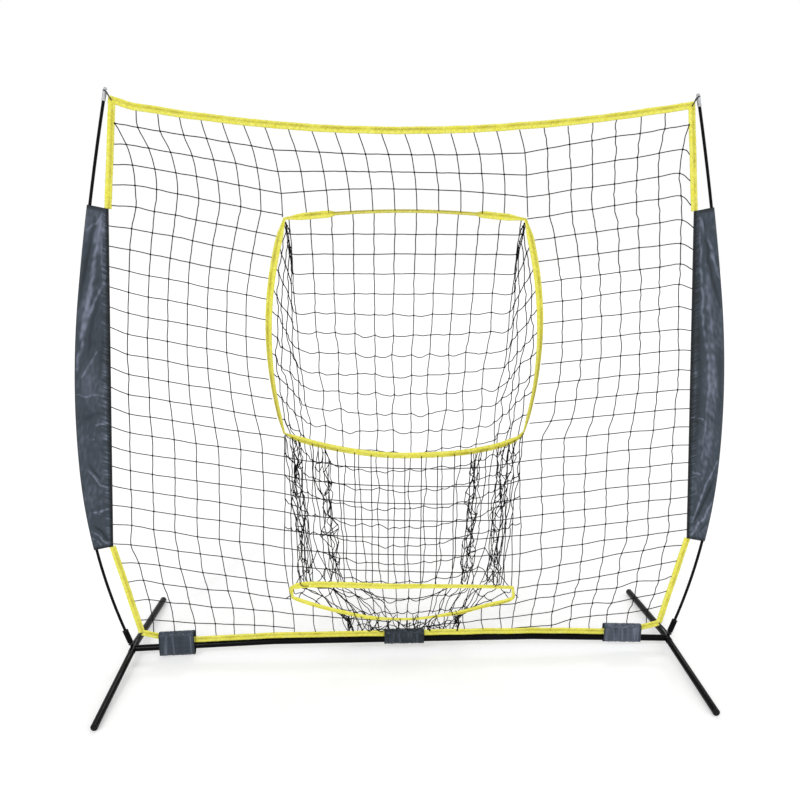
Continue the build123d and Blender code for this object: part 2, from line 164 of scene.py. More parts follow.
# Points on the arc from a through m to b, in the plane of the net, as (x, z)
def arcPoints(a, m, b, steps):
    ax, az, mx, mz, bx, bz = *a, *m, *b
    det = 2 * (ax * (mz - bz) + mx * (bz - az) + bx * (az - mz))
    sa, sm, sb = ax * ax + az * az, mx * mx + mz * mz, bx * bx + bz * bz
    cx = (sa * (mz - bz) + sm * (bz - az) + sb * (az - mz)) / det
    cz = (sa * (bx - mx) + sm * (ax - bx) + sb * (mx - ax)) / det
    radius = math.hypot(ax - cx, az - cz)
    start, end = math.atan2(az - cz, ax - cx), math.atan2(bz - cz, bx - cx)
    sweep = (end - start + math.pi) % (2 * math.pi) - math.pi
    return [(cx + radius * math.cos(start + sweep * n / steps),
             cz + radius * math.sin(start + sweep * n / steps)) for n in range(steps + 1)]


# X of a line of (x, z) points at a height
def acrossAt(points, z):
    for (x0, z0), (x1, z1) in zip(points, points[1:]):
        if min(z0, z1) <= z <= max(z0, z1) and z0 != z1:
            return x0 + (x1 - x0) * (z - z0) / (z1 - z0)
    return points[0][0] if abs(z - points[0][1]) < abs(z - points[-1][1]) else points[-1][0]


# Height of such a line at an x
def heightAt(points, x):
    return acrossAt([(z, x) for x, z in points], x)


def mix(a, b, t):
    return a + (b - a) * t


def clamp(value, low, high):
    return min(max(value, low), high)


def ease(low, high, value):
    t = clamp((value - low) / (high - low), 0.0, 1.0)
    return t * t * (3 - 2 * t)


# Place or direction in the plane of the net
def onNet(x, z):
    return Vector((x, 0, z))


def inPlane(points, y=0.0):
    return [Vector((x, y, z)) for x, z in points]


def ripple(a, b, c):
    return noise.noise(Vector((a, b, c)))


# Small steady wobble of a point
def wander(point, size, amount, seed):
    spot = Vector(point) / size + Vector((seed * 7.3, seed * 3.1, seed * 1.7))
    return noise.noise_vector(spot) * amount


# Materials
def newGroup(name, inputs, outputs):
    group = bpy.data.node_groups.new(name, "ShaderNodeTree")
    for label, kind, value in inputs:
        socket = group.interface.new_socket(label, in_out="INPUT", socket_type=kind)
        socket.default_value = value
    for label, kind in outputs:
        group.interface.new_socket(label, in_out="OUTPUT", socket_type=kind)
    start = addNode(group, "NodeGroupInput", (-900, 0))
    return group, start, addNode(group, "NodeGroupOutput", (700, 0))


def addNode(tree, kind, place, **settings):
    node = tree.nodes.new(kind)
    node.location = place
    for key, value in settings.items():
        socket = key.replace("_", " ")
        if socket in node.inputs.keys():
            node.inputs[socket].default_value = value
        else:
            setattr(node, key, value)
    return node


def addMath(tree, operation, place, a, b=None, c=None):
    node = addNode(tree, "ShaderNodeMath", place, operation=operation)
    for socket, value in zip(node.inputs, (a, b, c)):
        if isinstance(value, (int, float)):
            socket.default_value = value
        elif value is not None:
            tree.links.new(value, socket)
    return node.outputs[0]


def addMix(tree, place, factor, a, b):
    node = addNode(tree, "ShaderNodeMix", place, data_type="RGBA")
    for socket, value in ((node.inputs[0], factor), (node.inputs[6], a), (node.inputs[7], b)):
        if isinstance(value, (tuple, float, int)):
            socket.default_value = value
        else:
            tree.links.new(value, socket)
    return node.outputs[2]


def addRange(tree, place, value, **limits):
    node = addNode(tree, "ShaderNodeMapRange", place, **limits)
    tree.links.new(value, node.inputs[0])
    return node.outputs[0]


# A piece's own UV map, as the place across or round it and the length along it
def splitRun(tree, place):
    uv = addNode(tree, "ShaderNodeUVMap", place, uv_map="run")
    split = addNode(tree, "ShaderNodeSeparateXYZ", (place[0] + 180, place[1]))
    tree.links.new(uv.outputs[0], split.inputs[0])
    return split.outputs[0], split.outputs[1]


# 1 for what the camera sees straight or in a shine
def seenRays(tree, place):
    path = addNode(tree, "ShaderNodeLightPath", place)
    seen = addMath(tree, "MAXIMUM", (place[0] + 200, place[1]), path.outputs["Is Camera Ray"],
                   path.outputs["Is Glossy Ray"])
    return path, seen


# Slow change of tone and fine dust, on Object coordinates
def makeMottleGroup():
    group, start, end = newGroup(
        "mottle", [("Color", "NodeSocketColor", (0.5, 0.5, 0.5, 1)),
                   ("Second", "NodeSocketColor", (0.4, 0.4, 0.4, 1)),
                   ("Size", "NodeSocketFloat", 12.0), ("Speckle", "NodeSocketFloat", 0.2)],
        [("Color", "NodeSocketColor"), ("Tone", "NodeSocketFloat")])
    place = addNode(group, "ShaderNodeTexCoord", (-900, -300))
    slow = addNode(group, "ShaderNodeTexNoise", (-600, 100), Detail=4.0, Roughness=0.6)
    fine = addNode(group, "ShaderNodeTexNoise", (-600, -200), Scale=420.0, Detail=2.0)
    for tex in (slow, fine):
        group.links.new(place.outputs["Object"], tex.inputs["Vector"])
    group.links.new(start.outputs["Size"], slow.inputs["Scale"])
    spread = addRange(group, (-380, 100), slow.outputs[0], From_Min=0.35, From_Max=0.65)
    dust = addRange(group, (-380, -200), fine.outputs[0], From_Min=0.55, From_Max=0.75)
    dusty = addMath(group, "MULTIPLY", (-160, -200), dust, start.outputs["Speckle"])
    tone = addMath(group, "MAXIMUM", (60, 0), spread, dusty)
    group.links.new(addMix(group, (300, 100), tone, start.outputs["Color"], start.outputs["Second"]),
                    end.inputs["Color"])
    group.links.new(tone, end.inputs["Tone"])
    return group


# Plain weave on the piece's own UV map: warp and weft ribs, as a height and a shade
def makeWeaveGroup():
    group, start, end = newGroup(
        "weave", [("Warp", "NodeSocketFloat", 600.0), ("Weft", "NodeSocketFloat", 600.0)],
        [("Height", "NodeSocketFloat"), ("Shade", "NodeSocketFloat")])
    ribs = []
    for n, (way, label) in enumerate(zip(splitRun(group, (-900, -200)), ("Warp", "Weft"))):
        turns = addMath(group, "MULTIPLY", (-540, -200 * n), way, start.outputs[label])
        wave = addMath(group, "SINE", (-360, -200 * n), turns)
        ribs.append(addMath(group, "ABSOLUTE", (-180, -200 * n), wave))
    height = addMath(group, "MAXIMUM", (60, 0), ribs[0], ribs[1])
    group.links.new(height, end.inputs["Height"])
    group.links.new(addMath(group, "MULTIPLY", (60, -200), ribs[0], ribs[1]), end.inputs["Shade"])
    return group


mottle = makeMottleGroup()
weave = makeWeaveGroup()


def newMaterial(name, **shader):
    material = bpy.data.materials.new(name)
    material.use_nodes = True
    tree = material.node_tree
    surface = tree.nodes["Principled BSDF"]
    for key, value in shader.items():
        surface.inputs[key.replace("_", " ")].default_value = value
    return material, tree, surface


def addMottle(tree, surface, color, second, size, speckle, roughLow, roughHigh):
    node = addNode(tree, "ShaderNodeGroup", (-700, 200), node_tree=mottle, Color=color, Second=second,
                   Size=size, Speckle=speckle)
    rough = addRange(tree, (-380, 0), node.outputs["Tone"], To_Min=roughLow, To_Max=roughHigh)
    tree.links.new(rough, surface.inputs["Roughness"])
    tree.links.new(node.outputs["Color"], surface.inputs["Base Color"])
    return node


def addBump(tree, surface, height, strength, distance):
    bump = addNode(tree, "ShaderNodeBump", (-220, -300), Strength=strength, Distance=distance)
    tree.links.new(height, bump.inputs["Height"])
    tree.links.new(bump.outputs[0], surface.inputs["Normal"])


def addNoise(tree, place, scale, stretch=(1, 1, 1), detail=3.0):
    coord = addNode(tree, "ShaderNodeTexCoord", (place[0] - 400, place[1]))
    mapping = addNode(tree, "ShaderNodeMapping", (place[0] - 200, place[1]))
    mapping.inputs["Scale"].default_value = stretch
    tree.links.new(coord.outputs["Object"], mapping.inputs[0])
    tex = addNode(tree, "ShaderNodeTexNoise", place, Scale=scale, Detail=detail)
    tree.links.new(mapping.outputs[0], tex.inputs["Vector"])
    return tex.outputs[0]


# Plain materials: shader values; two tones, size of the mottle, dust, least and most roughness; and the
# grain's scale, stretch, strength and depth
plainLooks = {
    "blackThread": ({}, ((0.008, 0.008, 0.01, 1), (0.03, 0.03, 0.034, 1), 200.0, 0.8, 0.5, 0.7),
                    (1800.0, (1, 1, 1), 0.4, 0.0004)),
    "blackPaint": ({"Specular_IOR_Level": 0.06},
                   ((0.001, 0.001, 0.0012, 1), (0.003, 0.003, 0.004, 1), 9.0, 0.2, 0.1, 0.18),
                   (260.0, (1, 1, 1), 0.05, 0.001)),
    "blackPlastic": ({"Specular_IOR_Level": 0.1},
                     ((0.005, 0.005, 0.0055, 1), (0.014, 0.014, 0.015, 1), 30.0, 0.5, 0.38, 0.52),
                     (900.0, (1, 1, 1), 0.25, 0.0006)),
    "blackFibreglass": ({"Specular_IOR_Level": 0.07},
                        ((0.001, 0.001, 0.0012, 1), (0.004, 0.004, 0.005, 1), 20.0, 0.35, 0.24, 0.36),
                        (500.0, (1, 1, 0.03), 0.3, 0.0005)),
    "plainSteel": ({"Metallic": 1.0},
                   ((0.46, 0.47, 0.49, 1), (0.34, 0.345, 0.36, 1), 60.0, 0.5, 0.24, 0.4),
                   (700.0, (0.15, 0.15, 3), 0.25, 0.0004))}


def makePlain(name):
    shader, tones, (scale, stretch, strength, depth) = plainLooks[name]
    material, tree, surface = newMaterial(name, **shader)
    addMottle(tree, surface, *tones)
    addBump(tree, surface, addNoise(tree, (-500, -300), scale, stretch), strength, depth)
    return material


def makeElastic():
    material, tree, surface = newMaterial("blackElastic", Roughness=0.7)
    ribs = addNode(tree, "ShaderNodeGroup", (-700, -200), node_tree=weave, Warp=18.9, Weft=2600.0)
    shade = addMix(tree, (-400, 200), ribs.outputs["Shade"], (0.006, 0.006, 0.007, 1),
                   (0.03, 0.03, 0.033, 1))
    tree.links.new(shade, surface.inputs["Base Color"])
    addBump(tree, surface, ribs.outputs["Height"], 0.6, 0.0008)
    return material


def makeTwine():
    material, tree, surface = newMaterial("blackTwine", Roughness=0.8, Specular_IOR_Level=0.15)
    across, along = splitRun(tree, (-1100, -100))
    around = addMath(tree, "MULTIPLY", (-740, 0), across, math.tau)
    down = addMath(tree, "MULTIPLY", (-740, -200), along, 900.0)
    lay = addMath(tree, "SINE", (-380, -100), addMath(tree, "ADD", (-560, -100), around, down))
    shade = addMix(tree, (-200, 200), addMath(tree, "MULTIPLY_ADD", (-380, 200), lay, 0.5, 0.5),
                   (0.0015, 0.0015, 0.002, 1), (0.008, 0.008, 0.009, 1))
    tree.links.new(shade, surface.inputs["Base Color"])
    addBump(tree, surface, lay, 0.5, 0.0006)
    return material


# fold is the colour of the painted shade in the tape's fold
webbingLook = {"yellow": (0.93, 0.87, 0.07, 1), "shadow": (0.6, 0.53, 0.03, 1),
               "pale": (0.96, 0.94, 0.2, 1), "fold": (0.38, 0.32, 0.012, 1), "stitchPitch": 0.011,
               "ribs": 2100.0, "ribShade": 0.22, "threadShade": 0.35, "threadEdges": (0.03, 0.09)}


def makeWebbing(look):
    material, tree, surface = newMaterial("yellowWebbing", Sheen_Weight=0.1, Specular_IOR_Level=0.35)
    across, along = splitRun(tree, (-1500, -100))
    ribs = addNode(tree, "ShaderNodeGroup", (-900, -400), node_tree=weave, Warp=26.0, Weft=look["ribs"])
    stepped = addMath(tree, "MULTIPLY", (-1140, 0), along, 1 / look["stitchPitch"])
    swing = addMath(tree, "PINGPONG", (-960, 0), stepped, 1.0)
    line = addMath(tree, "MULTIPLY_ADD", (-780, 0), swing, 0.5, 0.25)
    gap = addMath(tree, "ABSOLUTE", (-420, 0), addMath(tree, "SUBTRACT", (-600, 0), across, line))
    near, far = look["threadEdges"]
    thread = addRange(tree, (-240, 0), gap, From_Min=near, From_Max=far, To_Min=1.0, To_Max=0.0)
    node = addMottle(tree, surface, look["yellow"], look["pale"], 60.0, 0.5, 0.62, 0.8)
    inRibs = addMath(tree, "MULTIPLY", (-700, 500), ribs.outputs["Shade"], look["ribShade"])
    ribbed = addMix(tree, (-500, 500), inRibs, node.outputs["Color"], look["shadow"])
    onThread = addMath(tree, "MULTIPLY", (-460, 650), thread, look["threadShade"])
    sewn = addMix(tree, (-260, 500), onThread, ribbed, look["shadow"])
    # painted shade along the tape's fold and twists, from the per-point painted shading
    fold = addNode(tree, "ShaderNodeAttribute", (-260, 800), attribute_name="fold")
    foldShaded = addMix(tree, (-40, 600), fold.outputs["Fac"], sewn, look["fold"])
    tree.links.new(foldShaded, surface.inputs["Base Color"])
    height = addMath(tree, "SUBTRACT", (-60, -250), ribs.outputs["Height"], thread)
    addBump(tree, surface, height, 0.5, 0.0012)
    return material


# The darkest colour is painted shade for cloth valleys and the lightest a painted highlight for cloth ridges
oxfordLook = {"cloth": (0.034, 0.048, 0.066, 1), "second": (0.048, 0.064, 0.086, 1),
              "valleyShade": (0.004, 0.009, 0.013, 1), "ridgeHighlight": (0.19, 0.215, 0.29, 1),
              "gap": (0.012, 0.018, 0.026, 1), "threads": 2400.0, "gapShade": 0.35, "creases": 26.0,
              "creaseHeight": 9.0}


def makeOxford(look):
    material, tree, surface = newMaterial("greyOxford", Sheen_Weight=0.04, Sheen_Roughness=0.4,
                                          Specular_IOR_Level=0.3)
    threads = addNode(tree, "ShaderNodeGroup", (-900, -400), node_tree=weave, Warp=look["threads"],
                      Weft=look["threads"])
    node = addMottle(tree, surface, look["cloth"], look["second"], 9.0, 0.2, 0.36, 0.52)
    inGaps = addMath(tree, "MULTIPLY", (-500, 500), threads.outputs["Shade"], look["gapShade"])
    woven = addMix(tree, (-300, 500), inGaps, node.outputs["Color"], look["gap"])
    # painted shade in valleys and painted highlight on ridges, from the per-point painted shading
    fold = addNode(tree, "ShaderNodeAttribute", (-700, 800), attribute_name="fold").outputs["Fac"]
    low = addRange(tree, (-500, 900), fold, From_Min=0.0, From_Max=-1.0)
    high = addRange(tree, (-500, 700), fold, From_Min=0.0, From_Max=1.0)
    dark = addMix(tree, (-100, 600), low, woven, look["valleyShade"])
    tree.links.new(addMix(tree, (100, 600), high, dark, look["ridgeHighlight"]), surface.inputs["Base Color"])
    creases = addNoise(tree, (-500, -700), look["creases"], (1, 1, 0.45), 5.0)
    height = addMath(tree, "MULTIPLY_ADD", (-60, -500), creases, look["creaseHeight"],
                     threads.outputs["Height"])
    addBump(tree, surface, height, 0.45, 0.0012)
    return material


blackTwine = makeTwine()
yellowWebbing = makeWebbing(webbingLook)
greyOxford = makeOxford(oxfordLook)
blackThread = makePlain("blackThread")
blackElastic = makeElastic()
slotMaterials = {"black_steel": makePlain("blackPaint"), "black_plastic": makePlain("blackPlastic"),
                 "black_fibreglass": makePlain("blackFibreglass"), "plain_steel": makePlain("plainSteel")}


def paintCadNodes():
    for part in frame["record"]["subparts"]:
        material = slotMaterials.get(part["material_slot"])
        node = frame["nodes"].get(part["node"])
        if material and node:
            for n in range(max(1, len(node.material_slots))):
                if not node.material_slots:
                    node.data.materials.append(material)
                node.material_slots[n].material = material


paintCadNodes()
print("materials ready")

# The frame's own lines, as the CAD has them
poleShape = {"legX": 1.082, "hubZ": 0.03974, "lean": 18.5, "straight": 0.081, "section": 0.672,
             "turns": (17.5, 10.5, 3.5)}
barShape = {"middleZ": 0.0597, "bendX": 0.525, "fall": 0.0359}
bothSides = ((1, "right"), (-1, "left"))


# Place and direction of the right pole at a length from the leg's axis
def poleAt(length):
    x, z, lean = poleShape["legX"], poleShape["hubZ"], math.radians(poleShape["lean"])
    runs = [(poleShape["straight"], 0.0)]
    runs += [(poleShape["section"], math.radians(turn)) for turn in poleShape["turns"]] + [(1.0, 0.0)]
    for run, turn in runs:
        step = min(length, run)
        if turn:
            radius = run / turn
            ahead = lean - step / radius
            x += radius * (math.cos(ahead) - math.cos(lean))
            z += radius * (math.sin(lean) - math.sin(ahead))
            lean = ahead
        else:
            x, z = x + step * math.sin(lean), z + step * math.cos(lean)
        length -= step
        if length <= 0:
            break
    return onNet(x, z), onNet(math.sin(lean), math.cos(lean))


# Height of the crossbar's axis
def barZ(x):
    return barShape["middleZ"] - max(0.0, abs(x) - barShape["bendX"]) * barShape["fall"]


# Outline of the net, as (x, z) for the right half
netShape = {"topCorner": (1.012, 2.106), "topMiddle": 2.021, "footCorner": (1.043, 0.108),
            "sleeveTop": (1.0522, 1.7447), "sleeveFoot": (1.1306, 0.4751),
            "footLine": [(0.0, 0.0852), (0.525, 0.0852), (0.9, 0.0718), (1.043, 0.108)],
            "tapeWidth": 0.025, "tapeThickness": 0.0042, "twine": 0.0019, "knot": 0.0037,
            "topTapeHalf": 1.024}
targetShape = {"topCorner": (0.434, 1.713), "top": 1.741, "side": (0.503, 1.235),
               "footCorner": (0.457, 0.921), "foot": 0.828,
               "slackFoot": [(0.43, 0.893), (0.366, 0.867), (0.29, 0.85), (0.21, 0.838), (0.1, 0.831),
                             (-0.02, 0.83), (-0.13, 0.838), (-0.248, 0.858), (-0.33, 0.877),
                             (-0.4, 0.898)]}
slotShape = {"upper": [(-0.449, 0.288), (-0.414, 0.299), (-0.353, 0.302), (-0.25, 0.299), (-0.15, 0.293),
                       (0.0, 0.288), (0.18, 0.285), (0.3, 0.282), (0.436, 0.275)],
             "lower": [(-0.444, 0.247), (-0.343, 0.209), (-0.25, 0.182), (-0.154, 0.158),
                       (-0.019, 0.145), (0.086, 0.149), (0.172, 0.162), (0.24, 0.174), (0.333, 0.199),
                       (0.413, 0.217), (0.44, 0.231)]}
halfTape = netShape["tapeWidth"] / 2
thinTwine = netShape["twine"] * 0.9


# The top edge hangs a few millimetres lower on the left
def topLine(x):
    cornerX, cornerZ = netShape["topCorner"]
    lean = 0.003 - 0.01 * ease(0.9, -0.4, x) * ease(-1.03, -0.93, x)
    return netShape["topMiddle"] + (cornerZ - netShape["topMiddle"]) * (x / cornerX) ** 2 + lean


def footLine(x):
    line = netShape["footLine"]
    for (x0, z0), (x1, z1) in zip(line, line[1:]):
        if x0 <= abs(x) <= x1:
            return z0 + (z1 - z0) * (abs(x) - x0) / (x1 - x0)
    return line[-1][1]


def footTop(x):
    return footLine(x) + halfTape


def slotTop(x):
    return heightAt(slotShape["upper"], x)


def slotFoot(x):
    return heightAt(slotShape["lower"], x)


# Half width of the netting: inner edge of the side tapes and of the sleeve between them
def netSide(z):
    edge = [netShape["topCorner"], netShape["sleeveTop"], netShape["sleeveFoot"], netShape["footCorner"]]
    inset = 0.0 if netShape["sleeveFoot"][1] < z < netShape["sleeveTop"][1] else halfTape
    return acrossAt(edge, z) - inset


targetSide = arcPoints(targetShape["topCorner"], targetShape["side"], targetShape["footCorner"], 24)


# Elastic loops at the four corners
elasticShape = {"radius": 0.0019, "grooveRadius": 0.0042, "neckRadius": 0.0072, "gap": 0.0004,
                "aboveSections": 0.034, "neckAt": 0.0225, "sewnDepth": 0.0045, "crossAt": 0.35,
                "crossDepth": 0.0052, "crossLift": 0.0012}


# Out from the corner, round the post and back, both ends sewn to the tape
def elasticRoute(corner, post, axis, postRadius, side):
    inward = onNet(-axis.z, axis.x)
    if side < 0:
        inward, corner = onNet(axis.z, axis.x), (-corner[0], corner[1])
        post = Vector((-post.x, post.y, post.z))
    wrap = postRadius + elasticShape["radius"] + elasticShape["gap"]
    sewn = onNet(*corner)
    off = Vector((0, elasticShape["sewnDepth"], 0))
    cross = sewn.lerp(post, elasticShape["crossAt"])
    apart = Vector((0, elasticShape["crossDepth"], -elasticShape["crossLift"]))
    bend = [post + wrap * (inward * math.cos(a) + Vector((0, -1, 0)) * math.sin(a))
            for a in (math.radians(d) for d in range(75, 300, 15))]
    return smoothRoute([sewn - off, cross - apart] + bend + [cross + apart, sewn + off], 3)


def makeElastics():
    tipPost, tipAxis = poleAt(poleShape["straight"] + 3 * poleShape["section"] + elasticShape["aboveSections"])
    neck, neckAxis = poleAt(elasticShape["neckAt"])
    for side, label in bothSides:
        for corner, post, axis, radius, name in (
                (netShape["topCorner"], tipPost, tipAxis, elasticShape["grooveRadius"], "top_elastic"),
                (netShape["footCorner"], neck, neckAxis, elasticShape["neckRadius"], "foot_elastic")):
            store = newStore()
            layCord(store, elasticRoute(corner, post, axis, radius, side), elasticShape["radius"], 10)
            makePiece(f"{label}_{name}_loop", store, blackElastic, replaced=[f"{label}_{name}"])


makeElastics()
print("elastics made")

# Webbing tapes: a strip folded over the edge of the net, with a seam line and soft edges; the section is
# in shares of the half width and half thickness
tapeSection = [(-1.0, -0.35), (-0.93, -0.95), (-0.35, -1.1), (0.28, -0.72), (0.4, -1.05), (0.93, -0.9),
               (1.0, -0.3), (1.0, 0.35), (0.93, 0.95), (0.35, 1.05), (-0.35, 0.9), (-0.93, 0.95), (-1.0, 0.35)]
tapeLook = {"sway": 0.0022, "fuzz": 0.09, "step": 0.006}


# Tape along a route in the plane of the net; roll, width and shade may change along it
def layTape(store, route, seed, closed=False, roll=None, width=None, shade=None):
    ways, run = tangents(route, closed), lengthsAlong(route, closed)
    rings = []
    for point, way, s in zip(route, ways, run):
        facing = Vector((0, 1, 0))
        side = way.cross(facing).normalized()
        turn = roll(s, point) if roll else 0.0
        half = (width(s, point) if width else 1.0) * halfTape
        side, facing = (side * math.cos(turn) + facing * math.sin(turn),
                        facing * math.cos(turn) - side * math.sin(turn))
        centre = point + Vector((0, tapeLook["sway"] * ripple(s * 9, seed, 0), 0))
        strong = shade(s, point) if shade else 1.0
        ring = []
        for n, (a, b) in enumerate(tapeSection):
            fuzz = 1 + tapeLook["fuzz"] * ripple(s * 260, n * 3.1, seed)
            ring.append(centre + side * a * half * fuzz + facing * b * netShape["tapeThickness"] / 2)
            # painted shade of the tape's fold and twists, scaled by the route's shade
            store["paintedShading"].append(paintedTapeShade(s, a, seed, turn) * strong)
        rings.append(ring)
    across = [(a + 1) / 2 for a, b in tapeSection]
    addSkin(store, rings, across + [across[0]], run, closed)


# Evenly spaced points along straight runs between the given points
def resample(route, step):
    spaced = []
    for a, b in zip(route, route[1:]):
        count = max(1, round((b - a).length / step))
        spaced += [a.lerp(b, n / count) for n in range(count)]
    return spaced + [route[-1]]


def makeTape(name, node, route, seed, **changes):
    store = newStore()
    layTape(store, route, seed, **changes)
    makePiece(name, store, yellowWebbing, replaced=[node])


def makeTopTape():
    half, count = netShape["topTapeHalf"], 400
    route = [onNet(x, topLine(x) + 0.0015 * ripple(x * 11, 5, 0))
             for x in (mix(-half, half, n / count) for n in range(count + 1))]
    makeTape("topTape", "top_tape", route, 1)


def makeFootTape():
    line = [(-x, z) for x, z in netShape["footLine"][:0:-1]] + netShape["footLine"][1:]
    route = resample(inPlane(line), tapeLook["step"])
    for point in route:
        point.z += 0.002 * ripple(point.x * 8, 9, 0)
    makeTape("footTape", "foot_tape", route, 2)


def makeSideTapes():
    for sign, label in bothSides:
        for name, ends in (("upper", ("topCorner", "sleeveTop")), ("lower", ("sleeveFoot", "footCorner"))):
            route = resample([onNet(sign * netShape[end][0], netShape[end][1]) for end in ends], 0.005)
            makeTape(f"{label}{name.title()}Tape", f"{label}_{name}_tape", route, 3 + sign)


# How dark a tape is painted at a place: painted shade along its fold's edge and where the tape turns edge-on, and small
# worn patches
def paintedTapeShade(s, a, seed, turn):
    lipShade = math.exp(-((a - 0.3) / 0.24) ** 2) * (0.6 + 0.6 * ripple(s * 24, a, seed))
    worn = max(0.0, ripple(s * 150, a * 3, seed + 9))
    return clamp(0.75 * lipShade + 0.5 * worn + 0.35 * abs(math.sin(turn)), 0.0, 1.0)


def targetRoute():
    (cornerX, cornerZ), (footX, footZ) = targetShape["topCorner"], targetShape["footCorner"]
    top = arcPoints((-cornerX, cornerZ), (0, targetShape["top"]), (cornerX, cornerZ), 160)
    side = arcPoints(targetShape["topCorner"], targetShape["side"], targetShape["footCorner"], 150)
    left = [(-x, z) for x, z in side[::-1]]
    foot = smoothRoute(inPlane([(footX, footZ)] + targetShape["slackFoot"] + [(-footX, footZ)]), 15)
    return inPlane(top[:-1] + side[:-1]) + foot[:-1] + inPlane(left[:-1])


def makeTargetTape():
    (cornerX, cornerZ), (footX, footZ) = targetShape["topCorner"], targetShape["footCorner"]
    topRun, footRun = 1.70, 0.915  # heights above and below which the tape is the target's top or foot

    def roll(s, point):
        if point.z > topRun:
            return 1.15 * ease(-0.28, -0.25, point.x) * (1 - ease(0.25, 0.29, point.x))
        return 0.25 if point.z < footRun else 0.85 * ease(1.5, 1.02, point.z)

    def width(s, point):
        corner = min(math.hypot(abs(point.x) - cornerX, point.z - cornerZ),
                     math.hypot(abs(point.x) - footX, point.z - footZ))
        return 0.4 + 0.6 * ease(0.0, 0.075, corner)

    def shade(s, point):
        if point.z < footRun:
            return 0.6 + 0.9 * ease(0.16, 0.19, point.x) + 0.7 * ease(-0.18, -0.3, point.x)
        return 1.1

    makeTape("targetTape", "target_tape", targetRoute(), 6, closed=True, roll=roll, width=width, shade=shade)


def makeSlotTape():
    upper = smoothRoute(inPlane(slotShape["upper"]), 16)
    lower = smoothRoute(inPlane(slotShape["lower"][::-1]), 16)
    right = resample([upper[-1], lower[0]], tapeLook["step"])[1:-1]
    left = resample([lower[-1], upper[0]], tapeLook["step"])[1:-1]

    def width(s, point):
        if point.z > (slotFoot(point.x) + 0.29) / 2:
            ends = 0.55 + 0.45 * (1 - ease(0.42, 0.452, abs(point.x)))
            return mix(1.02, 0.55, ease(-0.25, 0.4, point.x)) * ends
        middle = 1 - ease(0.08, 0.17, abs(point.x - 0.03))
        return mix(0.66, 0.42, middle) * (1 - 0.35 * ease(0.42, 0.45, abs(point.x)))

    def shade(s, point):
        return 0.6 + 0.9 * ease(0.12, 0.2, point.x) * (point.z < 0.24)

    makeTape("slotTape", "return_slot_tape", upper + right + lower + left, 8, closed=True, width=width,
             shade=shade)


makeTopTape()
makeFootTape()
makeSideTapes()
makeTargetTape()
makeSlotTape()
print("tapes made")

# Front netting: wings beside the target, a strip above it and a slack strip below it
netLook = {"wingColumns": 7, "middleColumns": 11, "rows": 26, "steps": 4, "wobble": 0.0035,
           "lifts": (0.0, -0.012, 0.004, 0.022)}
targetBand = {"foot": 0.917, "top": 1.715}  # heights between which a wing ends on the target's tape


# Height at which a row meets the side of the net
def wingRowEnd(side, r):
    n = r - 1
    if side < 0:
        return 2.031 - 0.0675 * n - 0.00029 * n * n
    return 2.034 - 0.0845 * n + 0.00042 * n * n - 0.02 * math.sin(math.pi * min(n, 7) / 7)


# Height of a row on the column that meets the target's corner
def railZ(side, r):
    late = max(0, r - 22)
    if side < 0:
        return 2.024 - 0.0746 * r + 0.0018 * late ** 2
    return 2.02 - 0.0762 * r + 0.0035 * late ** 2


# Lines of (x, z) for each side: how far the first column is inside the edge, and the column
# that meets the target above it and below it
insetLines = {-1: [(0.0, 2.11), (0.0, 2.03), (0.006, 2.017), (0.048, 1.954), (0.073, 1.88), (0.082, 1.79),
                   (0.085, 1.74), (0.074, 1.6), (0.069, 1.45), (0.063, 1.28), (0.065, 1.12), (0.068, 0.94),
                   (0.071, 0.7), (0.074, 0.55), (0.064, 0.4), (0.045, 0.1)],
              1: [(0.0, 2.11), (0.0, 2.03), (0.006, 2.01), (0.03, 1.94), (0.038, 1.87), (0.036, 1.8),
                  (0.047, 1.71), (0.051, 1.5), (0.052, 1.33), (0.046, 1.12), (0.058, 1.01), (0.066, 0.86), (0.073, 0.6),
                  (0.077, 0.5), (0.064, 0.42), (0.045, 0.1)]}
railLines = {-1: [(0.494, 2.024), (0.468, 1.951), (0.452, 1.873), (0.442, 1.792), (0.44, 1.72)],
             1: [(0.401, 2.018), (0.422, 1.957), (0.43, 1.873), (0.436, 1.791), (0.44, 1.72)]}
lowRailLines = {-1: [(0.458, 0.921), (0.459, 0.86), (0.461, 0.687), (0.471, 0.462), (0.469, 0.385),
                     (0.458, 0.3), (0.452, 0.24), (0.443, 0.183), (0.442, 0.1)],
                1: [(0.455, 0.921), (0.441, 0.883), (0.45, 0.7), (0.462, 0.427), (0.461, 0.348),
                    (0.458, 0.289), (0.449, 0.223), (0.44, 0.1)]}


def railX(side, z):
    if z > targetBand["top"]:
        return acrossAt(railLines[side], z)
    if z > targetBand["foot"]:
        return acrossAt(targetSide, z) + halfTape
    return acrossAt(lowRailLines[side], z)


# Height of a row's first knot, above or below where the row meets the side
def firstKnotZ(side, r):
    edge = wingRowEnd(side, r)
    if side < 0:
        return edge - 0.028 * math.sin(math.pi * min(max(r - 4, 0), 19) / 19)
    if r <= 4:
        return edge + 0.0085 * r
    return edge + (0.034 - 0.0045 * (r - 4) if r <= 11 else 0.0025 - 0.0012 * (r - 11))


# The first column inside the side edge
def firstColumnX(side, z):
    return netSide(z) - acrossAt(insetLines[side], z)


# Knot of row r and column k; column 0 is next to the side edge and column 7 at the target
def wingNode(side, r, k):
    share = k / netLook["wingColumns"]
    if r == 0:
        x = mix(firstColumnX(side, 2.09) + 0.004, railX(side, 2.02), share)
        return onNet(side * x, topLine(side * x) - halfTape)
    z = mix(firstKnotZ(side, r), railZ(side, r), share)
    x = mix(firstColumnX(side, z), railX(side, z), share)
    spot = onNet(side * x, z)
    slack = netLook["wobble"] * (1 + (3.4 if side > 0 else 1.8) * (1 - ease(0.28, 0.7, z)))
    edge = 0.25 if k == netLook["wingColumns"] else 1.0
    return spot + wander(spot, 0.11, slack * edge, 2)


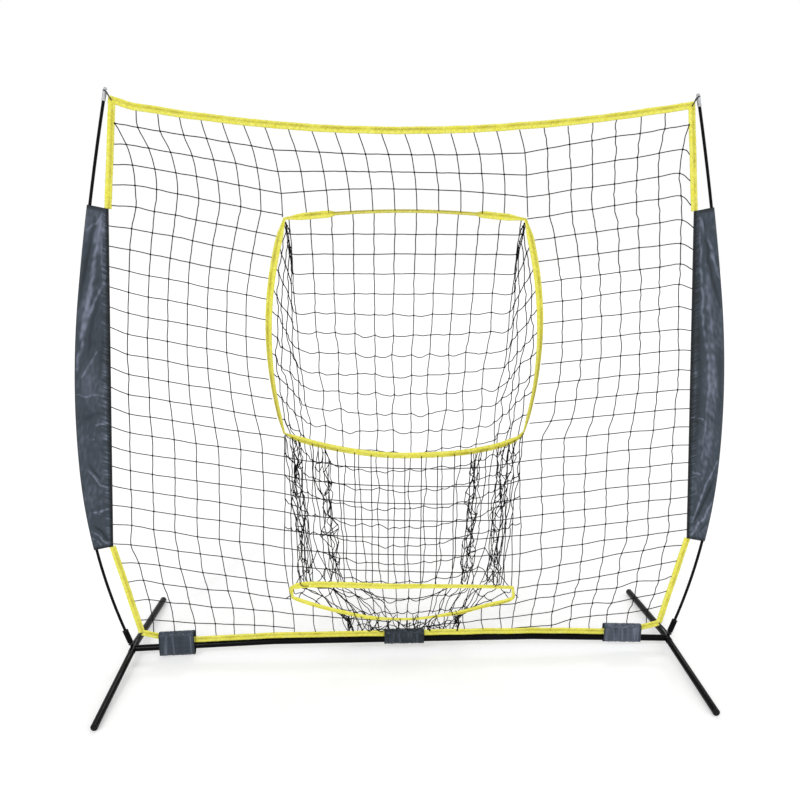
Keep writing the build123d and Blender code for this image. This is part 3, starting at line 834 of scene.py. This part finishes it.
# Twine through knots, wavy and with a sag of about the belly's depth between them
def cordBetween(store, knots, slack, seed, steps=netLook["steps"], belly=0.0, radius=netShape["twine"]):
    route = smoothRoute(knots, steps)
    for n, point in enumerate(route):
        fade = math.sin(math.pi * ((n % steps) / steps))
        route[n] = point + wander(point, 0.035, slack, seed) * (0.35 + fade)
        if belly:
            deep = 0.55 + 0.9 * ripple(n // steps * 3.7, seed, 5)
            route[n] = route[n] - onNet(0, belly * deep * fade)
    layCord(store, route, radius)


# Six-sided lump where two cords are tied
def addKnot(store, spot, seed):
    size = netShape["knot"]
    push = noise.noise_vector(spot * 40 + Vector((seed, 0, 0))) * 0.0005
    ring = [onNet(math.cos(a), math.sin(a)) * size for a in (math.pi * n / 3 for n in range(6))]
    rings = [[spot + push + p * scale + Vector((0, y * size, 0)) for p in ring]
             for scale, y in ((0.45, -0.95), (1.0, -0.4), (1.0, 0.4), (0.45, 0.95))]
    addSkin(store, rings, [n / 6 for n in range(7)], [0.0, 0.001, 0.002, 0.003])


# The part of a falling or level cord that is above the foot tape
def aboveFoot(points):
    kept = []
    for point in points:
        low = footTop(point.x) - 0.004
        if point.z > low:
            kept.append(point)
        elif kept:
            return kept + [Vector((point.x, point.y, low))]
    return kept


# The column that meets the target: a cord down to its top corner and another on from its foot corner
def layRail(store, column, side):
    (cornerX, cornerZ), (footX, footZ) = targetShape["topCorner"], targetShape["footCorner"]
    above = [p for p in column if p.z > cornerZ + 0.01] + [onNet(side * (cornerX + 0.008), cornerZ + 0.008)]
    below = [onNet(side * footX, footZ - 0.008)] + [p for p in column if p.z < footZ - 0.03]
    cordBetween(store, above, 0.0016, 61)
    cordBetween(store, below, 0.0024, 62)


def makeWing(store, side):
    last, rows = netLook["wingColumns"], netLook["rows"]
    nodes = [[wingNode(side, r, k) for k in range(last + 1)] for r in range(rows + 1)]
    for r in range(1, rows + 1):
        outerZ = wingRowEnd(side, r)
        edge = onNet(side * netSide(outerZ), outerZ)
        row = aboveFoot(nodes[r] if (edge - nodes[r][0]).length < 0.015 else [edge] + nodes[r])
        if len(row) > 1:
            cordBetween(store, row, 0.0014, side + r)
    for k in range(last + 1):
        column = aboveFoot([row[k] for row in nodes[1 if k == 0 else 0:]])
        end = column[-1]
        if end.z > footTop(end.x) + 0.012:
            column.append(onNet(end.x, footTop(end.x) - 0.003))
        if k < last:
            cordBetween(store, column, 0.0018 + 0.0038 * (side > 0), 30 + k + side)
        else:
            layRail(store, column, side)
    for r in range(1, rows + 1):
        for k in range(last):
            if nodes[r][k].z > footTop(nodes[r][k].x) + 0.01:
                addKnot(store, nodes[r][k], r + k)
    return nodes


def makeAboveTarget(store, left, right):
    last = netLook["middleColumns"]
    cornerX, cornerZ = targetShape["topCorner"]
    grid = []
    for r, lift in enumerate(netLook["lifts"]):
        row = []
        for k in range(last + 1):
            share = k / last
            spot = left[r][-1].lerp(right[r][-1], share)
            if r == 0:
                spot.z = topLine(spot.x) - halfTape
            else:
                spot.z += lift * (1 - (2 * share - 1) ** 2)
            row.append(spot + wander(spot, 0.1, 0.002, 4) * (r > 0))
        grid.append(row)
    for r in range(1, 4):
        cordBetween(store, grid[r], 0.0014, 70 + r)
    for k in range(1, last):
        x = mix(-cornerX, cornerX, k / last)
        onTape = targetShape["top"] - (targetShape["top"] - cornerZ) * (x / cornerX) ** 2
        cordBetween(store, [row[k] for row in grid] + [onNet(x, onTape + 0.003)], 0.0014, 80 + k)
        for r in range(1, 4):
            addKnot(store, grid[r][k], r + k)


# Slack strip between target and slot: columns as (x at the target's foot, x at the slot, waviness)
stripColumns = [(-0.452, -0.398, 0.012), (-0.428, -0.372, 0.014), (-0.405, -0.36, 0.01),
                (-0.352, -0.312, 0.009), (-0.33, -0.288, 0.012), (-0.304, -0.262, 0.01), (-0.258, -0.236, 0.004),
                (-0.193, -0.19, 0.003), (-0.129, -0.127, 0.003), (-0.065, -0.064, 0.002), (0.0, 0.002, 0.002),
                (0.064, 0.064, 0.003), (0.127, 0.126, 0.003), (0.192, 0.19, 0.004), (0.257, 0.232, 0.006),
                (0.292, 0.25, 0.014), (0.318, 0.275, 0.015), (0.36, 0.33, 0.01), (0.4, 0.358, 0.011),
                (0.424, 0.372, 0.014), (0.45, 0.396, 0.012)]
stripRows = {"first": 16, "last": 22, "sagFirst": 0.038, "sagLast": 0.012}
# Gathered strands: x at the target's foot, x at the slot, half width, cords, ties
stripBunches = [(-0.428, -0.385, 0.034, 4, 24), (-0.318, -0.27, 0.046, 3, 26), (0.275, 0.245, 0.034, 4, 26),
                (0.395, 0.35, 0.042, 4, 26)]


def stripRowZ(left, right, r, x):
    a, b = left[r][-1], right[r][-1]
    share = (x - a.x) / (b.x - a.x)
    sag = mix(stripRows["sagFirst"], stripRows["sagLast"], (r - stripRows["first"]) / 6)
    return mix(a.z, b.z, share) - sag * (1 - abs(2 * share - 1) ** 3)


# Height of the target tape's slack foot
def targetFoot(x):
    footX, footZ = targetShape["footCorner"]
    return heightAt([(footX, footZ)] + targetShape["slackFoot"] + [(-footX, footZ)], x)


# Netting gathered into a strand: loose cords down it, short slack ties across and a knot on each tie
def addBunch(store, top, foot, half, cords, ties, seed):
    strands, count = [], 20
    for n in range(cords):
        share = (2 * n + 1) / cords - 1
        route = []
        for t in (m / count for m in range(count + 1)):
            pinch = 0.68 + 0.32 * math.cos(t * 15 + seed * 2)
            spot = top.lerp(foot, t) + onNet(share * half * pinch, 0)
            loose = 0.021 * ease(0, 0.12, t)
            route.append(spot + wander((spot.x * 0.6 + n, seed, spot.z), 0.036, loose, seed + n))
        strands.append(route)
        cordBetween(store, route, 0.002, seed + n, 3, radius=thinTwine)
    for n in range(ties):
        m = 1 + (n * 7 + seed) % (count - 2)
        a = strands[n % cords][m]
        b = strands[(n + 1 + n // cords % 2) % cords][min(count, m + n % 3)]
        hang = Vector((0.01 * math.sin(n * 2.1), -0.004, -0.018 - 0.008 * math.sin(n * 1.3)))
        cordBetween(store, [a, (a + b) / 2 + hang, b], 0.002, seed + n, 4, radius=thinTwine)
        addKnot(store, a, seed + n)


def makeBelowTarget(store, left, right):
    for r in range(stripRows["first"], stripRows["last"] + 1):
        a, b = left[r][-1], right[r][-1]
        row = [a]
        for n in range(1, 17):
            x = mix(a.x, b.x, n / 17)
            spot = onNet(x, stripRowZ(left, right, r, x))
            row.append(spot + wander(spot, 0.03, 0.0015 + 0.008 * ease(0.22, 0.33, abs(x)), r))
        row.append(b)
        if row[9].z < targetShape["foot"] - halfTape:
            cordBetween(store, row, 0.001, 90 + r)
    for n, (topX, footX, rough) in enumerate(stripColumns):
        topZ, footZ = targetFoot(topX) - 0.004, slotTop(footX)
        column, count = [onNet(topX, topZ)], 14
        for t in (step / count for step in range(1, count)):
            spot = onNet(mix(topX, footX, ease(0, 1, t)), mix(topZ, footZ, t))
            sway = Vector((0, rough * noise.noise(spot * 9), 0))
            column.append(spot + wander(spot, 0.045, rough, 11 + n) + sway)
        column.append(onNet(footX, footZ + 0.006))
        cordBetween(store, column, rough * 0.3, 120 + n, 3)
    for n, (topX, footX, half, cords, ties) in enumerate(stripBunches):
        top = Vector((topX, 0.002, targetFoot(topX) - 0.006))
        foot = Vector((footX, 0.002, slotTop(footX) + 0.006))
        addBunch(store, top, foot, half, cords, ties, 3 + 5 * n)


# Short run between the slot's lower tape and the foot tape, and the wings' last rows carried on into it
def makeBelowSlot(store, left, right):
    for n in range(-5, 6):
        x = n * 0.075 + 0.012
        top, low = slotFoot(x) - 0.004, footTop(x) - 0.003
        if top - low > 0.02:
            middle = Vector((x + 0.016 * ripple(n, 4, 0), -0.004, (top + low) / 2))
            cordBetween(store, [onNet(x, top), middle, onNet(x + 0.008, low)], 0.004, 140 + n)
    for side, nodes in ((-1, left), (1, right)):
        for r in (24, 25):
            start = nodes[r][-1]
            row = [start]
            while True:
                x = row[-1].x - side * 0.05
                z = start.z - 0.1 * abs(x - start.x)
                if abs(x) < 0.05 or z > slotFoot(x) - 0.006 or z < footTop(x):
                    break
                row.append(onNet(x, z) + wander((x, 0, z), 0.05, 0.004, r))
            if len(row) > 1:
                cordBetween(store, row, 0.0015, 160 + r)


def makeFrontNet():
    store = newStore()
    left, right = makeWing(store, -1), makeWing(store, 1)
    makeAboveTarget(store, left, right)
    makeBelowTarget(store, left, right)
    makeBelowSlot(store, left, right)
    makePiece("frontNetting", store, blackTwine, replaced=["front_net"])
    print("front netting faces", len(store["faces"]))


makeFrontNet()

# Catch pocket: the middle of its back as (depth, z) and the back's half width as (x, z)
pocketShape = {"profile": [(0.004, 1.731), (0.105, 1.52), (0.187, 1.30), (0.245, 1.05), (0.276, 0.8),
                           (0.277, 0.57), (0.255, 0.35), (0.2, 0.17), (0.117, 0.045), (0.05, 0.058),
                           (0.004, 0.131)],
               "halves": [(0.418, 1.731), (0.417, 1.3), (0.388, 0.9), (0.374, 0.6), (0.366, 0.35),
                          (0.27, 0.12), (0.2, 0.04)],
               "rows": 24, "columns": 11, "sideColumns": 4, "frontTop": 1.708, "gatheredHalf": 0.22}
tangleShape = {"leftCords": 8, "rightCords": 6, "loops": 12, "crossings": 7,
               "sagRow": [(-0.205, 0.285), (-0.129, 0.241), (-0.06, 0.222), (0.011, 0.217),
                          (0.085, 0.225), (0.165, 0.256), (0.195, 0.28)]}


# Depth and height at a share of the way down the back
def pocketBack(t):
    route = smoothRoute([Vector((y, z, 0)) for y, z in pocketShape["profile"]], 6)
    run = lengthsAlong(route)
    want = t * run[-1]
    for n in range(len(route) - 1):
        if run[n + 1] >= want:
            spot = route[n].lerp(route[n + 1], (want - run[n]) / max(run[n + 1] - run[n], 1e-9))
            return spot.x, spot.y
    return route[-1].x, route[-1].y


# Knots of a row, from the left edge of the opening round the back to the right edge
def pocketRow(j):
    t = j / pocketShape["rows"]
    depth, z = pocketBack(t)
    columns, sides = pocketShape["columns"], pocketShape["sideColumns"]
    half = acrossAt(pocketShape["halves"], z) if t < 0.9 else mix(0.2, 0.23, (t - 0.9) / 0.1)
    slack = 0.002 + 0.013 * ease(0.12, 0.35, t)
    frontZ = max(min(pocketShape["frontTop"], z + 0.19 * (1 - ease(0.6, 0.9, t))), slotFoot(0.44))
    gather = ease(0.74, 0.97, t)  # below the slot's ends the net follows its lower tape inward
    walls = []
    for side in (-1, 1):
        rail = acrossAt(targetSide, frontZ) if frontZ > targetBand["foot"] else railX(side, frontZ)
        rail = mix(rail, pocketShape["gatheredHalf"], gather)
        front = Vector((side * rail, 0.006, mix(frontZ, slotFoot(side * rail) - 0.004, gather > 0)))
        back = Vector((side * half, depth, z))
        wall = [front]
        for m in range(1, sides + 1):
            spot = front.lerp(back, m / (sides + 1))
            wall.append(spot + wander(spot, 0.05, slack * 1.2, 20 + side))
        walls.append(wall)
    low = ease(0.4, 0.6, t) * (1 - ease(0.82, 0.92, t))
    hang = (0.034 + 0.036 * low) * ease(0.1, 0.4, t)
    middle = []
    for k in range(columns + 1):
        share = 2 * k / columns - 1
        sag = hang * (1 - share * share) * (1 - ease(0.8, 0.95, t))
        spot = Vector((share * half, depth - 0.012 * share * share, z + 0.01 * low - sag))
        spot = spot + wander(spot, 0.07, slack, 27) * (0.6 if depth < 0.03 else 1)
        spot.y = max(spot.y, 0.004)
        middle.append(spot)
    return walls[0], middle, walls[1][::-1]


# Slack netting seen in the slot
def addSlotCords(store):
    for n in range(tangleShape["leftCords"]):
        a = Vector((-0.41 + 0.033 * n, 0.006, slotTop(-0.4) - 0.012))
        b = Vector((-0.235 + 0.027 * n, 0.012, slotFoot(-0.2 + 0.03 * n) + 0.004))
        middle = a.lerp(b, 0.5) + wander((n, 2, 0), 1.0, 0.035, n) + Vector((0, 0.02, 0.008))
        cordBetween(store, [a, middle, b], 0.007, 300 + n, 8, radius=thinTwine)
    for n in range(tangleShape["rightCords"]):
        a = Vector((0.31 - 0.03 * n, 0.006, slotTop(0.3) - 0.01))
        b = Vector((0.235 - 0.024 * n, 0.012, slotFoot(0.2) - 0.004))
        middle = a.lerp(b, 0.5) + wander((n, 6, 0), 1.0, 0.03, n) + Vector((0, 0.02, 0))
        cordBetween(store, [a, middle, b], 0.007, 320 + n, 8, radius=thinTwine)
    cordBetween(store, inPlane(tangleShape["sagRow"], 0.03), 0.003, 340)


# Loops that hang from the slot's lower tape, and short cords across them
def addHeap(store):
    for n in range(tangleShape["loops"]):
        x = -0.225 + 0.42 * n / (tangleShape["loops"] - 1)
        top = slotFoot(x) + 0.012 * math.sin(n * 1.9)
        low = footTop(x) + 0.004 + 0.008 * math.sin(n * 2.7)
        wide, drift = 0.02 + 0.012 * math.sin(n * 3.3), 0.02 * math.sin(n * 1.3)
        over = 0.014 if n % 3 else 0.0  # two loops in three hang over the tape
        loop = [Vector((x - wide, 0.004 - over, top + over)),
                Vector((x - wide * 0.9 + drift, -over / 2, mix(top, low, 0.6))),
                Vector((x + drift, -0.004, low)), Vector((x + wide + drift, 0.004, mix(top, low, 0.55))),
                Vector((x + wide * 1.5, 0.01 - over, top + 0.004))]
        cordBetween(store, loop, 0.004, 350 + n, 5, radius=thinTwine)
        if n % 2:
            addKnot(store, loop[2], n)
    for n in range(tangleShape["crossings"]):
        x = -0.2 + 0.36 * n / (tangleShape["crossings"] - 1)
        z = mix(slotFoot(x), footTop(x), 0.2 + 0.6 * abs(math.sin(n * 2.2)))
        run = [Vector((x + dx, 0.004 + 0.003 * math.sin(n + dx * 90), z + 0.012 * math.sin(n * 3.1 + dx * 60)))
               for dx in (-0.05, -0.02, 0.015, 0.05)]
        cordBetween(store, run, 0.004, 380 + n, 5, radius=thinTwine)


def makePocket():
    store = newStore()
    count, sides = pocketShape["rows"], pocketShape["sideColumns"]
    rows = [pocketRow(j) for j in range(count + 1)]
    for j, (leftWall, back, rightWall) in enumerate(rows):
        if 0 < j < count:
            loose = 0.0012 + 0.005 * ease(0.12, 0.35, j / count)
            belly = 0.012 * ease(0.1, 0.3, j / count)
            cordBetween(store, leftWall + back + rightWall, loose, 200 + j, 5, belly)
    whole = [leftWall[1:] + back + rightWall[:-1] for leftWall, back, rightWall in rows]
    for k in range(len(whole[0])):
        column = [row[k] for row in whole]
        onWall = k < sides or k >= len(whole[0]) - sides
        if onWall:
            column = column[2:]
        else:
            x = column[0].x
            share = min((x / targetShape["topCorner"][0]) ** 2, 1)
            column[0] = Vector((x, 0.003, mix(targetShape["top"], targetShape["topCorner"][1], share) - 0.006))
        cordBetween(store, column, 0.0055 if onWall else 0.003, 230 + k)
        for j in range(1, count):
            addKnot(store, whole[j][k], j + k)
    addSlotCords(store)
    addHeap(store)
    makePiece("pocketNetting", store, blackTwine, replaced=["pocket_net"])
    print("pocket netting faces", len(store["faces"]))


makePocket()

# Side sleeves: cloth tubes that lie flat beside the pole and go round it
sleeveShape = {"start": 0.4402, "end": 1.7416, "poleRoom": 0.0088, "edge": 0.0016, "cloth": 0.0009,
               "along": 320, "around": 34}
# Folds on the front of each sleeve, and on the back of the other: places as (share up, share across),
# width, height
sleeveFolds = {
    "left": [([(0.984, 0.25), (0.955, 0.5), (0.93, 0.92)], 0.0028, 0.0028),
             ([(0.98, 0.3), (0.86, 0.5), (0.71, 0.68), (0.549, 0.92)], 0.0085, 0.0032),
             ([(0.98, 0.2), (0.88, 0.27), (0.8, 0.2)], 0.0035, 0.002),
             ([(0.807, 0.12), (0.74, 0.45), (0.7, 0.62)], 0.0032, 0.0036),
             ([(0.609, 0.27), (0.56, 0.55), (0.522, 0.79)], 0.003, 0.003),
             ([(0.97, 0.55), (0.85, 0.78), (0.72, 0.95)], 0.007, -0.0026),
             ([(0.76, 0.3), (0.66, 0.55), (0.58, 0.6)], 0.006, -0.0022),
             ([(0.66, 0.15), (0.52, 0.3)], 0.006, -0.0018),
             ([(0.472, 0.98), (0.468, 0.5), (0.475, 0.05)], 0.0024, 0.0026),
             ([(0.383, 0.45), (0.386, 0.05)], 0.003, 0.0034), ([(0.333, 0.62), (0.336, 0.45)], 0.0022, 0.0028),
             ([(0.4, 0.75), (0.42, 0.2)], 0.008, -0.0018), ([(0.31, 0.3), (0.29, 0.1)], 0.006, -0.0024),
             ([(0.248, 0.72), (0.204, 0.38), (0.187, 0.08)], 0.0032, 0.0034),
             ([(0.262, 0.68), (0.218, 0.34)], 0.0036, -0.003), ([(0.112, 0.65), (0.125, 0.05)], 0.003, 0.003),
             ([(0.115, 0.8), (0.108, 0.4)], 0.0024, 0.002), ([(0.06, 0.86), (0.009, 0.14)], 0.0034, 0.003),
             ([(0.078, 0.75), (0.022, 0.15)], 0.0045, -0.0034), ([(0.04, 0.98), (0.012, 0.5)], 0.0026, 0.0024)],
    "right": [([(0.985, 0.12), (0.7, 0.14), (0.52, 0.26), (0.38, 0.2), (0.25, 0.15)], 0.012, -0.003),
              ([(0.98, 0.24), (0.84, 0.29), (0.676, 0.34), (0.6, 0.47), (0.52, 0.54), (0.4, 0.48), (0.27, 0.4)],
               0.0045, 0.0026),
              ([(0.9, 0.48), (0.7, 0.57), (0.5, 0.66), (0.33, 0.62), (0.2, 0.48)], 0.011, 0.0016),
              ([(0.97, 0.44), (0.84, 0.58), (0.72, 0.88)], 0.006, -0.0034),
              ([(0.99, 0.22), (0.88, 0.7), (0.8, 0.95)], 0.0055, 0.0028),
              ([(0.6, 0.85), (0.4, 0.86)], 0.008, -0.002),
              ([(0.39, 0.02), (0.385, 0.45)], 0.0024, 0.0034), ([(0.222, 0.05), (0.215, 0.4)], 0.0024, 0.003),
              ([(0.378, 0.05), (0.372, 0.4)], 0.003, -0.002),
              ([(0.262, 0.93), (0.175, 0.61), (0.088, 0.31), (0.05, 0.2)], 0.0034, 0.0038),
              ([(0.2, 0.88), (0.13, 0.62), (0.06, 0.34)], 0.0055, -0.0034),
              ([(0.134, 0.92), (0.08, 0.72), (0.007, 0.1)], 0.004, 0.0032),
              ([(0.07, 0.9), (0.03, 0.6)], 0.005, -0.0022), ([(0.5, 0.66), (0.42, 0.9)], 0.0018, 0.0018)]}


# Places across the sleeve from its sewn edge to its outer fold, with the half thickness at each
def sleeveProfile(width, poleRoom):
    profile = []
    count = sleeveShape["around"]
    for n in range(count + 1):
        a = n / count
        place = width * (1 - (1 - a) ** 1.5)
        fromPole = place - (width - poleRoom)
        if fromPole > -poleRoom * 0.6:
            thick = math.sqrt(max(poleRoom ** 2 - min(fromPole, poleRoom) ** 2, 0))
        else:
            reach = width - poleRoom * 1.6
            thick = mix(sleeveShape["edge"], poleRoom * 0.8, ease(0, 1, place / reach) ** 1.4)
        profile.append((place, thick))
    return profile


# Height of a fold at a place on the sleeve
def foldAt(line, along, across, long, wide):
    best, last = 0.0, len(line[0]) - 1
    points, width, height = line
    for n, ((t0, s0), (t1, s1)) in enumerate(zip(points, points[1:])):
        ax, ay, bx, by = t0 * long, s0 * wide, t1 * long, s1 * wide
        dx, dy = bx - ax, by - ay
        u = clamp(((along - ax) * dx + (across - ay) * dy) / (dx * dx + dy * dy), 0.0, 1.0)
        gap = math.hypot(along - ax - u * dx, across - ay - u * dy)
        done = (n + u) / last
        narrow = width * (0.55 + 0.45 * min(1.0, 5 * min(done, 1 - done)))
        if gap < narrow * 3:
            best = max(best, math.exp(-(gap / narrow) ** 2) * narrow / width)
    return best * height


# How far the cloth stands out from flat at a place, and its painted shading from -1, painted shade in valleys, to 1,
# painted highlight on ridges
def sleeveRelief(side, face, lines, t, place, width):
    long, share = sleeveShape["end"] - sleeveShape["start"], place / width
    broad = ripple(t * 9, place * 12, face + side * 5)
    small = ripple(t * 60 + place * 40, place * 90, side)
    pucker = ripple(t * 210 - place * 60, place * 20, side + face) * (1 - ease(0.0, 0.34, share))
    along = t * long + 0.012 * ripple(t * 22, place * 30, 4)
    sideways = place + 0.004 * ripple(t * 30, place * 24, 6 + side)
    drawn = sum(foldAt(line, along, sideways, long, width) for line in lines)
    soft = math.sin(math.pi * min(share / 0.86, 1.0)) ** 0.7
    # painted shade inside both open ends of the tube
    mouthShade = ease(0.012, 0.004, t) + ease(0.988, 0.996, t)
    # drawn ridges and the pucker get painted highlight, drawn hollows painted shade
    tone = (drawn / 0.0036 * (0.85 + 0.6 * small) + 0.3 * broad + 0.3 * small
            + 1.6 * max(pucker, -0.3) - 0.9 * mouthShade)
    # darker near the sewn edge, and painted shade at the outer fold where the cloth turns away
    tone -= 0.95 * (1 - ease(0.06, 0.13, share)) + 0.7 * ease(0.93, 0.99, share)
    return soft * (0.62 * drawn + 0.003 * broad + 0.0012) + 0.0008 * pucker, clamp(tone, -1.0, 1.0)


# Place on the right sleeve's sewn edge, at a share of the way up
def sewnEdge(t):
    (topX, topZ), (footX, footZ) = netShape["sleeveTop"], netShape["sleeveFoot"]
    return mix(footX, topX, t), mix(footZ, topZ, t)


# Open cloth tube through rings of points, with its UV map in metres round and along it
def makeTube(name, node, rings, run, paintedShading, girth, cloth):
    store, around = newStore(), len(rings[0])
    addSkin(store, rings, [girth * n / around for n in range(around + 1)], run, capped=False)
    store["paintedShading"] = paintedShading
    piece = makePiece(name, store, greyOxford, replaced=[node])
    thicken(piece, cloth)
    return piece


def makeSideSleeve(side, label):
    rings, run, paintedShading, widths = [], [], [], []
    count, long = sleeveShape["along"], sleeveShape["end"] - sleeveShape["start"]
    front, back = sleeveFolds[label], sleeveFolds["left" if label == "right" else "right"]
    for t in (i / count for i in range(count + 1)):
        spot, way = poleAt(mix(sleeveShape["start"], sleeveShape["end"], t))
        inner = onNet(*sewnEdge(t))
        across = spot + onNet(way.z, -way.x) * sleeveShape["poleRoom"] - inner
        width = across.length
        widths.append(width)
        across.normalize()
        gather = 0.0025 * ripple(t * 40, side, 1)
        profile = sleeveProfile(width, sleeveShape["poleRoom"])
        ring = []
        for face, lines, points in ((-1, front, profile), (1, back, profile[-2:0:-1])):
            for place, thick in points:
                push, tone = sleeveRelief(side, face, lines, t, place, width)
                # painted shading of this point
                paintedShading.append(tone)
                point = inner + across * (place + gather * (1 - place / width))
                ring.append(Vector((side * point.x, face * (thick + push), point.z)))
        rings.append(ring)
        run.append(t * long)
    girth = 2 * sum(widths) / len(widths)
    piece = makeTube(f"{label}SideSleeve", f"{label}_side_sleeve", rings, run, paintedShading, girth,
                     sleeveShape["cloth"])
    makeOverlock(side, label)


def thicken(piece, depth):
    bpy.ops.object.select_all(action="DESELECT")
    bpy.context.view_layer.objects.active = piece
    piece.select_set(True)
    wall = piece.modifiers.new("cloth", "SOLIDIFY")
    wall.thickness = depth
    wall.offset = 1
    bpy.ops.object.modifier_apply(modifier=wall.name)
    piece.select_set(False)


# Thread that runs to and fro over the sewn edge of a sleeve, with a line of thread on each face
def makeOverlock(side, label):
    stitches, steps = 240, 90
    zigzag = []
    for i in range(stitches * 2 + 1):
        x, z = sewnEdge(i / (stitches * 2))
        x += 0.0065 if i % 2 else -0.0012
        zigzag.append(Vector((side * x, -0.0034 - 0.0006 * (i % 2), z)))
    store = newStore()
    layCord(store, zigzag, 0.0006, 4)
    for face in (-1, 1):
        edge = [Vector((side * (x - 0.0006), face * 0.0012, z))
                for x, z in (sewnEdge(n / steps) for n in range(steps + 1))]
        layCord(store, edge, 0.0016, 6)
    makePiece(f"{label}SleeveOverlock", store, blackThread)


for side, label in bothSides:
    makeSideSleeve(side, label)
print("side sleeves made")

# Bar sleeves: cloth loops round the crossbar and the foot tape
# tone sets how dark each sleeve is drawn; glint is the painted highlight on its creases
barSleeves = {"right": {"from": 0.814, "to": 0.968, "slack": 0.003, "tone": 0.12, "glint": 0.6},
              "centre": {"from": -0.08, "to": 0.08, "slack": 0.003, "tone": -0.85, "glint": 1.2},
              "left": {"from": -0.976, "to": -0.837, "slack": 0.021, "tone": -0.2, "glint": 0.8}}
barSleeveShape = {"room": 0.0134, "cloth": 0.0012, "along": 60, "around": 44, "crease": 0.0022}


def makeBarSleeve(label, place):
    rings, run, paintedShading = [], [], []
    count, around, room = (barSleeveShape[key] for key in ("along", "around", "room"))
    far = max(place["from"], place["to"], key=abs)
    rise = max(footLine(far), footLine(place["from"])) - barZ(far) + halfTape + 0.0015
    for i in range(count + 1):
        x = mix(place["from"], place["to"], i / count)
        low, high = barZ(x) - room - place["slack"], barZ(x) + rise
        middle, reach = (low + high) / 2, (high - low) / 2 - room
        nearEnds = 1 - ease(0.0, 0.05, min(i, count - i) / count)
        ring = []
        for angle in (math.tau * n / around for n in range(around)):
            y, z = room * math.cos(angle), room * math.sin(angle)
            z += reach if math.sin(angle) >= 0 else -reach
            away = Vector((0, y, z)).normalized()
            crease = ripple(x * 42 + angle * 1.6, angle * 2.4 - x * 30, place["tone"] * 9)
            fold = max(1 - abs(crease) * 2.6, 0) ** 2
            deep = barSleeveShape["crease"] * fold + 0.0008
            ring.append(Vector((x, y, middle + z)) + away * deep)
            patch = 0.5 * ripple(x * 70, angle * 4, 8)
            # painted highlight on the creases, darker towards both ends
            paintedShading.append(clamp(place["tone"] + place["glint"] * fold ** 2 + patch - 0.7 * nearEnds, -1.0, 1.0))
        rings.append(ring)
        run.append(abs(x - place["from"]))
    girth = 4 * reach + math.tau * room
    piece = makeTube(f"{label}BarSleeve", f"{label}_bar_sleeve", rings, run, paintedShading, girth,
                     barSleeveShape["cloth"])


for label, place in barSleeves.items():
    makeBarSleeve(label, place)
print("bar sleeves made")

# Floor, world and lamps; each lamp as its place, its width in degrees and its power
lightLook = {"world": 0.55, "floor": (0.9, 0.9, 0.9, 1), "lift": 0.27,
             "lamps": [((-2.2, -4.0, 3.4), 40, 0.75), ((-1.4, -3.6, 4.2), 8, 0.5),
                       ((3.2, -2.6, 2.8), 50, 0.45), ((0.6, 3.4, 3.6), 14, 0.45)]}


def addFloor():
    bpy.ops.object.select_all(action="DESELECT")
    bpy.ops.mesh.primitive_plane_add(size=60, location=(0, 0, -0.0005))
    floor = bpy.context.active_object
    floor.name = "floor"
    material, tree, surface = newMaterial("paleFloor", Roughness=0.9)
    surface.inputs["Base Color"].default_value = lightLook["floor"]
    seen = seenRays(tree, (-700, -200))[1]
    glow = addNode(tree, "ShaderNodeEmission", (0, -300))
    tree.links.new(addMath(tree, "MULTIPLY", (-300, -200), seen, lightLook["lift"]), glow.inputs["Strength"])
    both = addNode(tree, "ShaderNodeAddShader", (300, 0))
    tree.links.new(surface.outputs[0], both.inputs[0])
    tree.links.new(glow.outputs[0], both.inputs[1])
    tree.links.new(both.outputs[0], tree.nodes["Material Output"].inputs["Surface"])
    floor.data.materials.append(material)
    floor.select_set(False)


def addWorld():
    world = bpy.data.worlds.new("studio")
    bpy.context.scene.world = world
    world.use_nodes = True
    tree = world.node_tree
    back = tree.nodes["Background"]
    back.inputs["Color"].default_value = (1, 1, 1, 1)
    path, seen = seenRays(tree, (-900, 0))
    seen = addMath(tree, "MAXIMUM", (-500, 0), seen, path.outputs["Is Transmission Ray"])
    strength = addRange(tree, (-300, 0), seen, To_Min=lightLook["world"], To_Max=1.0)
    tree.links.new(strength, back.inputs["Strength"])


def addLamps():
    for n, (place, width, power) in enumerate(lightLook["lamps"]):
        lamp = bpy.data.lights.new(f"softbox{n}", "SUN")
        lamp.angle, lamp.energy = math.radians(width), power
        holder = bpy.data.objects.new(lamp.name, lamp)
        bpy.context.collection.objects.link(holder)
        holder.location = place
        holder.rotation_euler = (Vector((0, 0, 1.0)) - Vector(place)).to_track_quat("-Z", "Y").to_euler()


addFloor()
addWorld()
addLamps()
bpy.context.scene.view_settings.view_transform = "Standard"
print("stage set")
